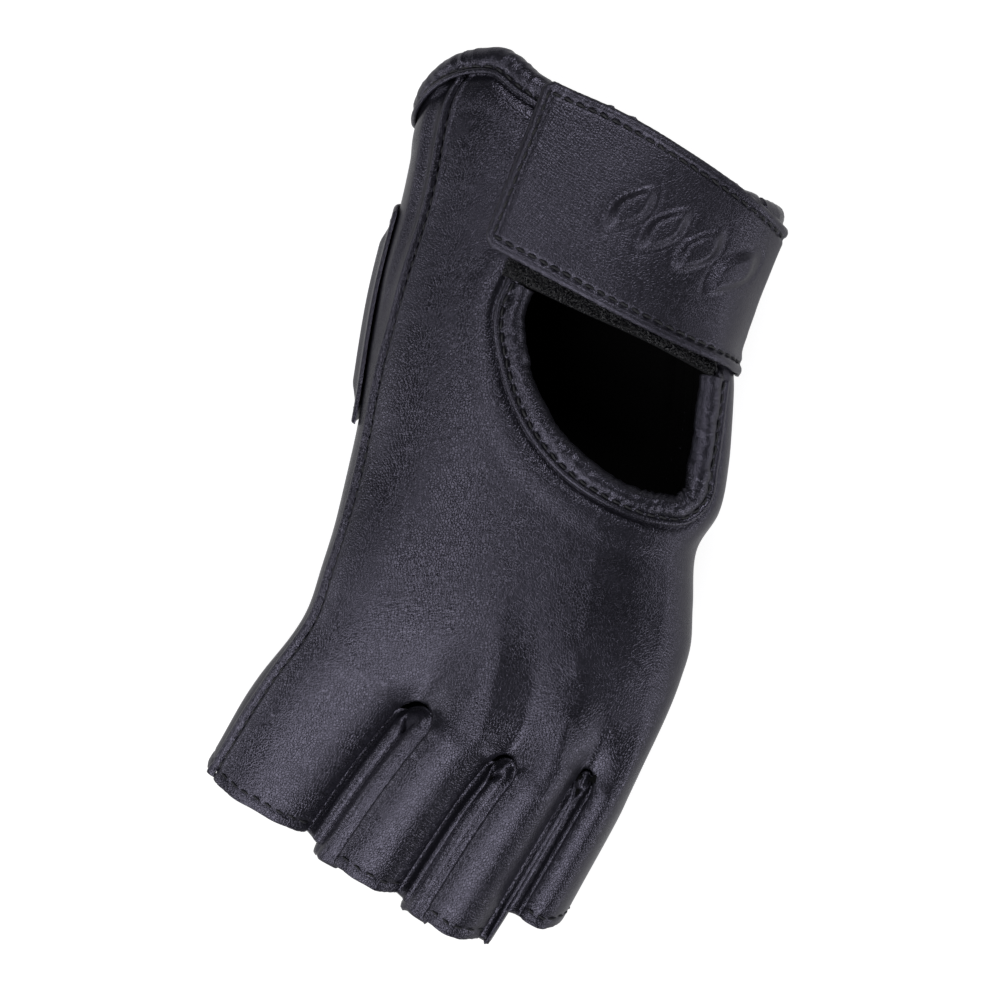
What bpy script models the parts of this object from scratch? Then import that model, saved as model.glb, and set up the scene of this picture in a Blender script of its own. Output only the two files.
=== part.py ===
"""A left fingerless leather glove, lying palm down as if a relaxed hand filled it.

+Y runs towards the fingertips, +X to the thumb side and +Z out of the back of the hand. The script works
in millimetres from a drafting point on the back of the hand, and `place` moves and scales each mesh to metres,
with the origin under the centre of the glove's box, on the surface that it lies on.
"""

import math

import bmesh
import bpy
import numpy as np
from mathutils import Vector

MM = 0.001
ORIGIN = (13.03, 7.99, 0.0)  # the point under the box's centre, in drafting millimetres

# Driving dimensions, in millimetres and degrees.
LEATHER = 1.2
TAPE = 0.9
LINING = 0.7
FOAM = 1.1
SEAM_TRIM = 0.02  # what a panel leaves free at a seam, as a share of its outer finger's strip
LAYER_GAP = 0.3  # between pieces that lie on each other
FLOOR_FLAT = 3.1  # the palm leather is pressed flat at this height, over its patch
PATCH_THICK = FLOOR_FLAT - LAYER_GAP
PATCH_GAP = 0.6  # the patch's rim clears the facets of the curved palm
SQUARENESS = 2.35  # superellipse exponent of every section
FINGER_GAP = 0.75  # half the gap between neighbouring fingers
SLOT_ROUND = 5.0  # length of the round end of the slot between two fingers
HEM_TILT = 5.0  # how far each finger's end leans back, from its top to its middle height
WRIST_ROW = -38.0  # the row of the panels where the cuff ends and the hand begins
THREAD = 0.7


def through(*points):
    """A smooth function through (position, value) points, level beyond its ends."""
    at, value = (np.array(column, float) for column in zip(*points))
    slope = np.gradient(value, at)

    def curve(x):
        x = np.clip(x, at[0], at[-1])
        k = np.clip(np.searchsorted(at, x, side="right") - 1, 0, len(at) - 2)
        step = at[k + 1] - at[k]
        u = (x - at[k]) / step
        return (
            (1 + 2 * u) * (1 - u) ** 2 * value[k]
            + u * (1 - u) ** 2 * step * slope[k]
            + u * u * (3 - 2 * u) * value[k + 1]
            + u * u * (u - 1) * step * slope[k + 1]
        )

    return curve


def smooth(x, low, high):
    u = np.clip((x - low) / (high - low), 0.0, 1.0)
    return u * u * (3 - 2 * u)


# The glove's outline from above, as x at each y.
thumb_side = through(
    (-88, 75.0), (-66, 75.0), (-50, 69.2), (-20, 60.4), (10, 49.2), (30, 43.1), (40, 40.8), (52, 38.2),
    (70, 40.1), (98, 41.0)
)
little_side = through(
    (-88, -10.6), (-76, -12.0), (-60, -15.2), (-49, -18.3), (-42, -22.4), (-35, -26.1), (-27, -29.9),
    (-16, -33.6), (-6, -33.4), (6, -39.2), (14, -43.3), (22, -45.4), (55, -48.8), (75, -49.4), (98, -50.0)
)
# Its height: the back of the hand, the widest level, and the palm.
back_height = through((-88, 42.0), (-60, 44.0), (-20, 45.0), (20, 44.0), (57, 41.0))
wide_height = through((-88, 21.0), (-20, 23.0), (20, 26.0), (57, 25.5))
palm_height = through((-88, 2.6), (4, 2.6), (26, 15.6), (60, 15.2))
# Lines between the fingers, which also run back over the hand to the cuff.
finger_lines = (
    thumb_side,
    through((-84, 44), (-60, 38.5), (-20, 27), (20, 13), (57.5, 4.0), (68, 5.6), (80, 7.2), (97, 8.6)),
    through((-84, 26), (-60, 20), (-20, 7), (20, -9), (58, -18.5), (70, -16.8), (85, -15.8), (98, -15.3)),
    through((-84, 8), (-60, 2), (-20, -12), (20, -28), (51.5, -36.5), (65, -36.6), (98, -36.3)),
    little_side,
)
INDEX, LITTLE = 0, 3
FINGERS = ("index", "middle", "ring", "little")
finger_top = (
    through((10, 43), (30, 41.2), (45, 38.2), (57, 35.2), (98, 23.0)),
    through((10, 45), (30, 45), (57, 42.0), (100, 26.6)),
    through((10, 43), (30, 43), (57, 40.5), (100, 26.2)),
    through((10, 36), (30, 37), (50, 35.0), (88, 24.5)),
)
finger_bottom = (
    through((10, 15), (57, 16.0), (98, 2.4)),
    through((10, 15), (57, 15.2), (100, 1.2)),
    through((10, 15), (57, 14.8), (100, 1.0)),
    through((10, 14), (50, 13.0), (88, 1.0)),
)
FINGER_END = (98.5, 100.5, 100.9, 89.1)
# The seam along the thumb side, as the angle round the section, and the little-finger seam under the palm.
seam_angle = through((-80, 36), (-50, 35), (-20, 30), (10, 24), (30, 26), (57, 36), (98, 38))
LITTLE_SEAM = -132.0
# Where the cuff's edge lies, by the angle round the wrist.
cuff_edge = through(
    (-180, -81.2), (-132, -80.0), (-90, -74.0), (-45, -65.5), (-8, -62.0), (8, -65.5), (20, -71.5),
    (34, -77.4), (48, -80.8), (62, -79.7), (76, -79.5), (90, -80.6), (140, -80.6), (165, -81.4), (180, -81.2)
)

# Each panel's tube angles on each finger, from its thumb side to its little-finger side, and its slots' ends.
BACK_ANGLES = ((None, 143.0), (53.0, 150.0), (60.0, 160.0), (57.0, 360 + LITTLE_SEAM))
PALM_ANGLES = ((None, -145.0), (-40.0, -145.0), (-40.0, -150.0), (-50.0, LITTLE_SEAM))
BACK_FORKS = (57.5, 58.0, 51.5)
PALM_FORKS = (60.0, 60.5, 54.0)


def power(value, exponent):
    return np.sign(value) * np.abs(value) ** exponent


def section(angle, left, right, low, level, high):
    """x and z on a superellipse between those limits. Angle 0 is at the right, 90 on top."""
    cosine, sine = np.cos(np.radians(angle)), np.sin(np.radians(angle))
    half = (right - left) / 2
    x = (right + left) / 2 + half * power(cosine, 2 / SQUARENESS)
    z = level + np.where(sine > 0, high - level, level - low) * power(sine, 2 / SQUARENESS)
    return x, z


def on_hand(angle, y):
    """A point on the outside of the glove round the hand."""
    angle, y = np.broadcast_arrays(np.asarray(angle, float), np.asarray(y, float))
    x, z = section(angle, little_side(y), thumb_side(y), palm_height(y), wide_height(y), back_height(y))
    return np.stack([x, y, np.maximum(z, FLOOR_FLAT)], axis=-1)


def on_finger(finger, angle, y):
    """A point on the outside of a finger's tube."""
    angle, y = np.broadcast_arrays(np.asarray(angle, float), np.asarray(y, float))
    right = finger_lines[finger](y) - (FINGER_GAP if finger > INDEX else 0)
    left = finger_lines[finger + 1](y) + (FINGER_GAP if finger < LITTLE else 0)
    low, high = finger_bottom[finger](y), finger_top[finger](y)
    x, z = section(angle, left, right, low, (low + high) / 2, high)
    return np.stack([x, y, z], axis=-1)


def normals(surface, a, b, step_a=0.4, step_b=0.4):
    """Unit normals of surface(a, b), pointing out of a glove whose a turns from thumb side over the back."""
    along_a = surface(a + step_a, b) - surface(a - step_a, b)
    along_b = surface(a, b + step_b) - surface(a, b - step_b)
    normal = np.cross(along_b, along_a)
    return normal / np.linalg.norm(normal, axis=-1, keepdims=True)


def raised(surface, lift):
    """The surface again, lift millimetres outside it."""

    def outside(a, b):
        return surface(a, b) + lift * normals(surface, a, b)

    return outside


def angle_at(x, y):
    """The angle round the hand, on its back, at a plan position."""
    half = (thumb_side(y) - little_side(y)) / 2
    share = np.clip((x - little_side(y)) / half - 1, -1, 1)
    return np.degrees(np.arccos(power(share, SQUARENESS / 2)))


def tube_angles(angles, finger, y):
    start, end = angles[finger]
    if start is None:
        start = seam_angle(y)
    return start, end


def slot_opening(fork, y):
    """0 behind the fork between two fingers, 1 where the slot between them is at its full width."""
    u = np.clip((y - fork) / SLOT_ROUND, 0, 1)
    return np.sqrt(1 - (1 - u) ** 2)


def panel_point(angles, forks, finger, u, y):
    """A point on a panel: u runs 0 to 1 over one finger's strip, from its thumb side, and back over the hand."""
    side = 1 if angles is BACK_ANGLES else -1
    knots = [seam_angle(y)]
    knots += [side * angle_at(line(y), y) for line in finger_lines[1:4]]
    knots += [angles[LITTLE][1] + 0 * y]
    hand = on_hand(knots[finger] + u * (knots[finger + 1] - knots[finger]), y)
    start, end = tube_angles(angles, finger, y)
    tube = on_finger(finger, start + u * (end - start), y)
    for slot, share in ((finger - 1, 1 - u), (finger, u)):
        if 0 <= slot < 3:
            near, far = (slot + 1, slot) if slot < finger else (slot, slot + 1)
            mine = tube_angles(angles, finger, y)[0 if slot < finger else 1]
            other = tube_angles(angles, far, y)[1 if slot < finger else 0]
            edge = on_finger(near, mine, y)
            middle = (edge + on_finger(far, other, y)) / 2
            pull = (1 - slot_opening(forks[slot], y)) * share**3
            tube = tube + pull[..., None] * (middle - edge)
    blend = smooth(y, 12.0, 58.0)[..., None]
    return hand + blend * (tube - hand)


def end_of(finger, angle):
    """How far a finger reaches, by the angle round it."""
    return FINGER_END[finger] - HEM_TILT * (1 - np.sin(np.radians(angle)))


def panel_rows(angles, forks, finger, u):
    """The y of every row of a panel, from the cuff to the finger's end."""
    knots = [36.0, *(angles_at_cuff(angles, line) for line in finger_lines[1:4]), angles[LITTLE][1]]
    round_wrist = (knots[finger] + u * (knots[finger + 1] - knots[finger]) + 180) % 360 - 180
    cuff = cuff_edge(round_wrist)
    fork = np.interp(finger + u, [0, 1, 2, 3, 4], [forks[0], *forks, forks[2]])
    start, end = tube_angles(angles, finger, 95.0)
    tip = end_of(finger, start + u * (end - start))
    shares = np.linspace(0, 1, 5)
    rows = [cuff + (WRIST_ROW - cuff) * share for share in shares[:-1]]
    rows += [WRIST_ROW + (fork - WRIST_ROW) * share for share in np.linspace(0, 1, 10)]
    rows += [fork + SLOT_ROUND * share for share in (0.12, 0.45, 1.0)]
    rows += [fork + SLOT_ROUND + (tip - fork - SLOT_ROUND) * share for share in np.linspace(0, 1, 6)[1:]]
    return np.array(rows)


def angles_at_cuff(angles, line):
    return (1 if angles is BACK_ANGLES else -1) * angle_at(line(-80.0), -80.0)


# Meshes


def material(name, colour, roughness):
    found = bpy.data.materials.get(name)
    if found:
        return found
    made = bpy.data.materials.new(name)
    made.use_nodes = True
    shader = made.node_tree.nodes["Principled BSDF"]
    shader.inputs["Base Color"].default_value = (*colour, 1.0)
    shader.inputs["Roughness"].default_value = roughness
    shader.inputs["Metallic"].default_value = 0.0
    return made


def black_leather():
    return material("black_leather", (0.018, 0.018, 0.022), 0.45)


def binding_leather():
    return material("binding_leather", (0.015, 0.015, 0.019), 0.55)


def hook_and_loop():
    return material("hook_and_loop", (0.008, 0.008, 0.010), 0.95)


def thread_black():
    return material("sewing_thread", (0.006, 0.006, 0.007), 0.8)


def foam_grey():
    return material("foam", (0.05, 0.05, 0.055), 0.9)


def place(name, bm, finish):
    """Makes the node from a mesh in drafting millimetres."""
    bmesh.ops.remove_doubles(bm, verts=bm.verts, dist=1e-3)
    bmesh.ops.translate(bm, verts=bm.verts, vec=-Vector(ORIGIN))
    bmesh.ops.scale(bm, verts=bm.verts, vec=(MM, MM, MM))
    mesh = bpy.data.meshes.new(name)
    bm.to_mesh(mesh)
    bm.free()
    mesh.shade_smooth()
    node = bpy.data.objects.new(name, mesh)
    glove_collection().objects.link(node)
    mesh.materials.append(finish)
    return node


def glove_collection():
    made = bpy.data.collections.get("fingerless_glove")
    if made is None:
        made = bpy.data.collections.new("fingerless_glove")
        bpy.context.scene.collection.children.link(made)
    return made


def cutter_collection():
    made = bpy.data.collections.get("cutters")
    if made is None:
        made = bpy.data.collections.new("cutters")
        bpy.context.scene.collection.children.link(made)
    return made


def add_grid(bm, points, close_rows=False, flip=False):
    """Quads over a grid of points, rows by columns. close_rows joins the last column to the first."""
    rows, columns = points.shape[:2]
    verts = [[bm.verts.new(Vector(p)) for p in row] for row in points]
    last = columns if close_rows else columns - 1
    for i in range(rows - 1):
        for j in range(last):
            k = (j + 1) % columns
            corners = [verts[i][j], verts[i][k], verts[i + 1][k], verts[i + 1][j]]
            bm.faces.new(corners[::-1] if flip else corners)
    return verts


def solidified(node, thickness, outward=False):
    """Gives an open leather surface its thickness, inwards from its outer face unless outward."""
    skin = node.modifiers.new("thickness", "SOLIDIFY")
    skin.thickness = thickness * MM
    skin.offset = 1.0 if outward else -1.0
    skin.use_even_offset = True
    return node


def panel(name, angles, forks, cells):
    """A whole leather panel: four finger strips that run together behind the forks."""
    bm = bmesh.new()
    for finger, count in enumerate(cells):
        u = np.linspace(0, 1, count + 1)
        y = panel_rows(angles, forks, finger, u)
        if finger == INDEX:
            u[0] = SEAM_TRIM
        if finger == LITTLE:
            u[-1] = 1 - SEAM_TRIM
        points = panel_point(angles, forks, finger, np.broadcast_to(u, y.shape), y)
        add_grid(bm, points, flip=angles is BACK_ANGLES)
    node = place(name, bm, black_leather())
    return solidified(node, LEATHER)


# The opening in the back of the hand, from above: the curved side, then the straight side by the wrist.
OPENING_CORNERS = (
    (33.2, -43.0), (31.6, -31.0), (24.5, -21.5), (14.5, -13.3), (3.0, -8.6), (-10.0, -7.6), (-21.0, -9.6)
)
OPENING_LITTLE_SIDE = ((-26.0, -12.4), (-27.4, -16.5), (-25.2, -23.5), (-19.4, -38.0), (-17.4, -43.0))
OPENING_WRIST = -44.0
# The slit that lets the hand in runs from the opening to the cuff, at this angle round the wrist.
SLIT_ANGLE = 150.0  # degrees
SLIT_WIDTH = 1.9
# The finger-side edge of the loop tape, which spans the opening at the wrist.
LOOP_EDGE = through((-14.0, -42.2), (2, -41.6), (18, -40.0), (37.5, -38.4))


def outline(points, count):
    """count points evenly spaced on a smooth line through the given ones."""
    points = np.array(points, float)
    along = np.concatenate([[0], np.cumsum(np.linalg.norm(np.diff(points, axis=0), axis=1))])
    fine = np.linspace(0, along[-1], 40 * len(points))
    line = np.stack([through(*zip(along, column))(fine) for column in points.T], axis=1)
    reach = np.concatenate([[0], np.cumsum(np.linalg.norm(np.diff(line, axis=0), axis=1))])
    at = np.linspace(0, reach[-1], count)
    return np.stack([np.interp(at, reach, column) for column in line.T], axis=1)


def opening_edge(count):
    """The bound edge of the opening, from its thumb side round to its little-finger side."""
    return outline(OPENING_CORNERS + OPENING_LITTLE_SIDE, count)


def bound_edge(count):
    """The stretch of that edge that the binding covers, from the loop tape round to under the strap."""
    edge = opening_edge(count)
    return edge[(edge[:, 1] > LOOP_EDGE(edge[:, 0]) + 1.0) & (edge[:, 1] > -42.0)]


def slit_line(y):
    """The slit's middle line from above."""
    return np.stack([on_hand(SLIT_ANGLE, y)[..., 0], y], axis=-1)


def prism(name, flat, low, high):
    """A hidden cutter: a plan outline raised from low to high."""
    bm = bmesh.new()
    ring = np.array([[(x, y, z) for x, y in flat] for z in (low, high)])
    verts = add_grid(bm, ring, close_rows=True)
    bm.faces.new(verts[0][::-1])
    bm.faces.new(verts[1])
    bmesh.ops.recalc_face_normals(bm, faces=bm.faces)
    node = place(name, bm, black_leather())
    glove_collection().objects.unlink(node)
    cutter_collection().objects.link(node)
    node.hide_render = True
    node.display_type = "WIRE"
    return node


def cut(node, cutter):
    hole = node.modifiers.new("hole", "BOOLEAN")
    hole.operation = "DIFFERENCE"
    hole.object = cutter


def back_panel():
    node = panel("back_panel", BACK_ANGLES, BACK_FORKS, (5, 5, 5, 8))
    slit = slit_line(np.array([OPENING_WRIST, -70.0, -94.0]))
    near_side = slit + (SLIT_WIDTH / 2, 0)
    corner = (OPENING_CORNERS[0][0], OPENING_WRIST)
    flat = [*opening_edge(26), *(slit - (SLIT_WIDTH / 2, 0)), *near_side[::-1], corner]
    cut(node, prism("opening_cutter", flat, 25.0, 60.0))


# The thumb leaves the palm through an oval hole and lies folded under the palm.
THUMB_HOLE = (27.5, 31.0, 13.2, 12.0)  # centre x and y, and half sizes across and along
THUMB_ROOT_Z = 14.4
THUMB_END = (9.5, 53.5, 7.4)
THUMB_HEADING = (-0.5, 0.866, 0.0)
THUMB_HALF = (14.0, 5.9)
THUMB_LEAVES, THUMB_ARRIVES = 20.0, 34.0  # how stiffly its sides leave the hole and run into its open end


def palm_panel():
    node = panel("palm_panel", PALM_ANGLES, PALM_FORKS, (11, 4, 4, 4))
    x, y, across, along = THUMB_HOLE
    turn = np.radians(np.arange(0, 360, 20))
    oval = np.stack([x + across * np.cos(turn), y + along * np.sin(turn)], axis=1)
    cut(node, prism("thumb_cutter", oval, 6.0, 24.0))


def thumb_point(turn, t):
    """The thumb's tube: from the oval hole (t 0) to its open end (t 1), turn in degrees round it."""
    x, y, across, along = THUMB_HOLE
    c, s = np.cos(np.radians(turn)), np.sin(np.radians(turn))
    root = np.stack([x + (across - 1) * c, y + (along - 1) * s, THUMB_ROOT_Z + 0 * c], axis=-1)
    heading = np.array(THUMB_HEADING)
    sideways = np.array([heading[1], -heading[0], 0])
    wide, high = THUMB_HALF
    # The root's far side from the end becomes the tube's underside.
    ahead = (root - root.mean(axis=0))[..., :2] @ heading[:2] / across
    beside = (root - root.mean(axis=0))[..., :2] @ sideways[:2] / across
    around = np.arctan2(ahead, beside)
    end = np.array(THUMB_END) + wide * np.cos(around)[..., None] * sideways
    end = end + high * np.sin(around)[..., None] * np.array([0, 0, 1])
    down = np.array([0.0, 0.0, -1.0]) * (THUMB_LEAVES * (0.62 - 0.5 * ahead))[..., None]
    out = heading * THUMB_ARRIVES
    t = np.asarray(t)[..., None]
    h00, h10 = (1 + 2 * t) * (1 - t) ** 2, t * (1 - t) ** 2
    h01, h11 = t * t * (3 - 2 * t), t * t * (t - 1)
    return h00 * root + h10 * down + h01 * end + h11 * out


def thumb_panel():
    bm = bmesh.new()
    turn = np.arange(0, 360, 20.0)
    rows = [thumb_point(turn, np.full(turn.shape, t)) for t in np.linspace(0, 1, 8)]
    add_grid(bm, np.array(rows), close_rows=True)
    bmesh.ops.recalc_face_normals(bm, faces=bm.faces)
    solidified(place("thumb_panel", bm, black_leather()), LEATHER)


def fourchette_point(slot, side, w, y):
    """The wall in the slot between two fingers: side -1 on the thumb-side finger, 1 on the other; w runs down."""
    finger = slot if side < 0 else slot + 1
    top = tube_angles(BACK_ANGLES, finger, y)[1 if side < 0 else 0]
    low = tube_angles(PALM_ANGLES, finger, y)[1 if side < 0 else 0]
    top, low = (top, low + 360) if side < 0 else (top, low)
    return on_finger(finger, top + w * (low - top), y)


def squeeze(w):
    """How far the two walls of a slot bulge towards each other, as a share of their gap."""
    return 0.8 * np.sin(math.pi * w**0.7)


FOURCHETTE_PROUD = 0.9  # how far its end stands out past the corners of the back panel
FOURCHETTE_SEAM = 2.2  # from each panel's fork to the fourchette
FOURCHETTE_HOLLOW = 4.5  # how much deeper the fork is halfway down the slot


def fourchette(slot, name):
    """The strip between two fingers: down one finger's side, round the fork and back along the next."""
    bm = bmesh.new()
    w = np.array([0.05, 0.14, 0.3, 0.5, 0.72, 0.94])
    fork = BACK_FORKS[slot] * (1 - w) + PALM_FORKS[slot] * w + FOURCHETTE_SEAM
    fork = fork + FOURCHETTE_HOLLOW * np.sin(math.pi * w)
    columns = []
    for side in (-1, 1):
        finger = slot if side < 0 else slot + 1
        top = tube_angles(BACK_ANGLES, finger, 95.0)[1 if side < 0 else 0]
        tip = end_of(finger, top) + FOURCHETTE_PROUD - HEM_TILT * w**2
        rows = [tip + (fork + SLOT_ROUND - tip) * share for share in (0, 0.22, 0.45, 0.7)]
        rows += [fork + SLOT_ROUND * share for share in (1.0, 0.45, 0.12)]
        column = []
        for y in rows:
            wall = fourchette_point(slot, side, w, y)
            middle = (fourchette_point(slot, -1, w, y) + fourchette_point(slot, 1, w, y)) / 2
            u = np.clip((y - fork) / SLOT_ROUND, 0, 1)
            apart = np.sqrt(1 - (1 - u) ** 2) * (1 - u * squeeze(w))
            column.append(middle + apart[:, None] * (wall - middle))
        columns.append(column)
    fork_point = (fourchette_point(slot, -1, w, fork) + fourchette_point(slot, 1, w, fork)) / 2
    points = np.array([*columns[0], fork_point, *columns[1][::-1]])
    add_grid(bm, points)
    solidified(place(name, bm, black_leather()), LEATHER)


# Bindings: a strip folded round an edge. Its section is (distance from the edge into the panel, height over it).
CUFF_END = 2.6  # degrees from the slit's middle to each end of the cuff's binding
BINDING_SECTION = (
    (3.4, 0.35), (3.4, 1.35), (-0.4, 1.4), (-2.6, 0.6), (-3.6, -1.3), (-3.1, -2.8), (2.8, -3.0),
    (2.8, -2.0), (-0.7, -2.0), (-1.2, -1.5), (-1.2, -0.1), (-0.7, 0.35)
)


def sweep(name, places, inwards, outwards, shape, finish):
    """A strip of that section along the places, with inwards and outwards as the section's two directions."""
    bm = bmesh.new()
    rings = [[p + a * into + b * out for a, b in shape] for p, into, out in zip(places, inwards, outwards)]
    verts = add_grid(bm, np.array(rings), close_rows=True)
    bm.faces.new(verts[0])
    bm.faces.new(verts[-1][::-1])
    bmesh.ops.recalc_face_normals(bm, faces=bm.faces)
    return place(name, bm, finish)


def round_opening(count):
    """Places along the opening's bound edge, with the directions into the panel and out of it."""
    edge = bound_edge(count)
    places, into, out = edge_frame(angle_at(edge[:, 0], edge[:, 1]), edge[:, 1])
    outward = np.sign(np.sum((places - places.mean(axis=0)) * into))
    return places, into * outward, out


def opening_binding():
    sweep("opening_binding", *round_opening(36), BINDING_SECTION, binding_leather())


def edge_frame(angle, y):
    """Places on a bound edge of the wrist, with the directions into the panel and out of it."""
    places = on_hand(angle, y)
    out = normals(on_hand, angle, y)
    into = np.cross(out, np.gradient(places, axis=0))
    return places, into / np.linalg.norm(into, axis=1, keepdims=True), out


def round_cuff(count):
    """Angles right round the cuff, from one side of the slit to the other, and the cuff's edge at them."""
    angle = np.linspace(SLIT_ANGLE - 360 + CUFF_END, SLIT_ANGLE - CUFF_END, count)
    return angle, cuff_edge((angle + 180) % 360 - 180)


def cuff_binding():
    places, into, out = edge_frame(*round_cuff(40))
    sweep("cuff_binding", places, into * np.sign(into[:, 1:2]), out, BINDING_SECTION, binding_leather())


# The strap and the tapes, as layers over the wrist. Corners are (x, y) from above.
STRAP_FREE_END = ((44.4, -42.6), (51.0, -82.4))
STRAP_HINGE_ANGLE = 168.0
STRAP_EDGES = (
    through((38, -42.4), (90, -43.0), (168, -45.0)),
    through((38, -82.6), (75, -83.2), (92, -84.7), (110, -84.4), (168, -80.4)),
)
TAPE_END_ANGLE = 139.0
ROOT_SINK = (2.3, 0.3)  # how much nearer the glove the strap's layers lie at its root, at either edge
STACK = {}
level = LAYER_GAP
for layer, thick in (("loop_tape", TAPE), ("hook_tape", TAPE), ("lining", LINING), ("outer", LEATHER)):
    STACK[layer] = level
    level += thick + LAYER_GAP


def worn(lift):
    """A surface in the strap at that height over the hand. Towards the root, past the tapes, it sinks to the glove."""

    def surface(angle, y):
        angle, y = np.broadcast_arrays(np.asarray(angle, float), np.asarray(y, float))
        near, far = (edge(angle) for edge in STRAP_EDGES)
        sink = ROOT_SINK[0] + np.clip((near - y) / (near - far), 0, 1) * (ROOT_SINK[1] - ROOT_SINK[0])
        height = lift - sink * smooth(angle, TAPE_END_ANGLE, STRAP_HINGE_ANGLE)
        return on_hand(angle, y) + height[..., None] * normals(on_hand, angle, y)

    return surface


def strap_hinge():
    """An empty on the line that the strap lifts about, where its root bends round the little-finger side."""
    near, far = (edge(STRAP_HINGE_ANGLE) for edge in STRAP_EDGES)
    line = worn(STACK["outer"] - LAYER_GAP)(STRAP_HINGE_ANGLE, np.array([near, far]))
    hinge = bpy.data.objects.new("strap_hinge", None)
    hinge.location = (Vector(line.mean(axis=0)) - Vector(ORIGIN)) * MM
    along = Vector(line[1] - line[0])
    hinge.rotation_euler = along.to_track_quat("Z", "Y").to_euler()
    glove_collection().objects.link(hinge)
    bpy.context.view_layer.update()
    return hinge


def strap_layer(name, lift, thick, finish, inset, cells=(10, 6), start=0.0, end=1.0):
    """A layer of the strap: p runs from its free end to the hinge line, q from its finger edge to its cuff edge."""
    p = np.linspace(start, end, cells[0] + 1)[:, None]
    q = np.linspace(0, 1, cells[1] + 1)[None, :]
    (x0, y0), (x1, y1) = STRAP_FREE_END
    free = angle_at(x0 + q * (x1 - x0), y0 + q * (y1 - y0))
    angle = free + p * (STRAP_HINGE_ANGLE - free)
    near, far = (edge(angle) for edge in STRAP_EDGES)
    y = near - inset + q * (far - near + 2 * inset)
    bm = bmesh.new()
    add_grid(bm, worn(lift)(angle, y))
    node = place(name, bm, finish)
    turn_outwards(node)
    return solidified(node, thick, outward=True)


def turn_outwards(node):
    """Makes an open sheet over the back of the hand face up."""
    bm = bmesh.new()
    bm.from_mesh(node.data)
    bm.normal_update()
    if sum(face.normal.z for face in bm.faces) < 0:
        bmesh.ops.reverse_faces(bm, faces=bm.faces)
    bm.to_mesh(node.data)
    bm.free()


def strap():
    """The moving layers, which hang from the hinge."""
    layers = [
        strap_layer("strap_outer", STACK["outer"], LEATHER, black_leather(), 0.0),
        strap_layer("strap_lining", STACK["lining"], LINING, binding_leather(), 1.0, start=0.015, end=0.95),
        strap_layer("strap_hook_tape", STACK["hook_tape"], TAPE, hook_and_loop(), 6.5, start=0.07, end=0.72),
        strap_thread(),
    ]
    hinge = strap_hinge()
    for layer in layers:
        layer.parent = hinge
        layer.matrix_parent_inverse = hinge.matrix_world.inverted()


ANCHOR_LIFT = (0.5, 2.0)  # over the glove at the finger side, and over the cuff's binding at the other


def strap_anchor():
    """The strap's sewn-down root, round the little-finger side from the hinge line to the palm."""
    angle = np.linspace(STRAP_HINGE_ANGLE + 5.5, 222, 6)[:, None]
    q = np.linspace(0, 1, 7)[None, :]
    near, far = (edge(168.0) for edge in STRAP_EDGES)
    y = near + q * (far + 1.6 - near) + 0 * angle
    bm = bmesh.new()
    lift = ANCHOR_LIFT[0] + q[..., None] * (ANCHOR_LIFT[1] - ANCHOR_LIFT[0])
    add_grid(bm, raised(on_hand, lift)(angle + 0 * y, y), flip=True)
    node = place("strap_anchor", bm, black_leather())
    solidified(node, LEATHER, outward=True)


def loop_tape():
    """The fuzzy half of the fastener, sewn on the wrist and reaching over the opening's edge."""
    x = np.linspace(37.5, -13.5, 11)[:, None]
    q = np.linspace(0, 1, 7)[None, :]
    y = LOOP_EDGE(x) + q * (-75.5 - LOOP_EDGE(x))
    x = x + 7.0 * q
    bm = bmesh.new()
    add_grid(bm, raised(on_hand, LAYER_GAP)(angle_at(x, y), y))
    node = place("loop_tape", bm, hook_and_loop())
    turn_outwards(node)
    solidified(node, TAPE, outward=True)


# The padded patch on the heel of the palm, by the angle round the hand and y.
PATCH_ANGLES = (6.0, -112.0)
PATCH_Y = (-42.0, 11.0)


def shares_with_rims(count, rim):
    """0 to 1 with count cells between, and two narrow cells at each end."""
    return np.array([0, rim / 2, rim, *np.linspace(rim, 1 - rim, count + 1)[1:-1], 1 - rim, 1 - rim / 2, 1])


def patch_grid(angles, reach):
    """Angles and y over the patch, whose finger-side edge slants and whose corners draw in."""
    share = shares_with_rims(10, 0.11)[:, None]
    across = shares_with_rims(5, 0.17)[None, :]
    middle, half = sum(reach) / 2, (reach[1] - reach[0]) / 2
    a = angles[0] + share * (angles[1] - angles[0])
    y = middle + (2 * across - 1) * half * (1 - 0.10 * (2 * share - 1) ** 6)
    front = reach[1] - 9.0 * np.clip(share * 3, 0, 1)
    y = np.where(y > middle, middle + (y - middle) * (front - middle) / half, y)
    return np.broadcast_arrays(a, y)


def slab(name, a, y, low, high, finish):
    """A closed sheet over the hand, between its low and high face's heights at each grid point."""
    bm = bmesh.new()
    layers = [on_hand(a, y) + lift[..., None] * normals(on_hand, a, y) for lift in (low, high)]
    layers[1][..., 2] = np.maximum(layers[1][..., 2], 0.0)
    grids = [add_grid(bm, layers[0]), add_grid(bm, layers[1], flip=True)]
    rows, columns = a.shape
    rim = [(0, j) for j in range(columns)] + [(i, columns - 1) for i in range(1, rows)]
    rim += [(rows - 1, j) for j in range(columns - 2, -1, -1)] + [(i, 0) for i in range(rows - 2, 0, -1)]
    for (i, j), (k, m) in zip(rim, rim[1:] + rim[:1]):
        bm.faces.new([grids[0][i][j], grids[0][k][m], grids[1][k][m], grids[1][i][j]])
    bmesh.ops.recalc_face_normals(bm, faces=bm.faces)
    return place(name, bm, finish)


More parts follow.
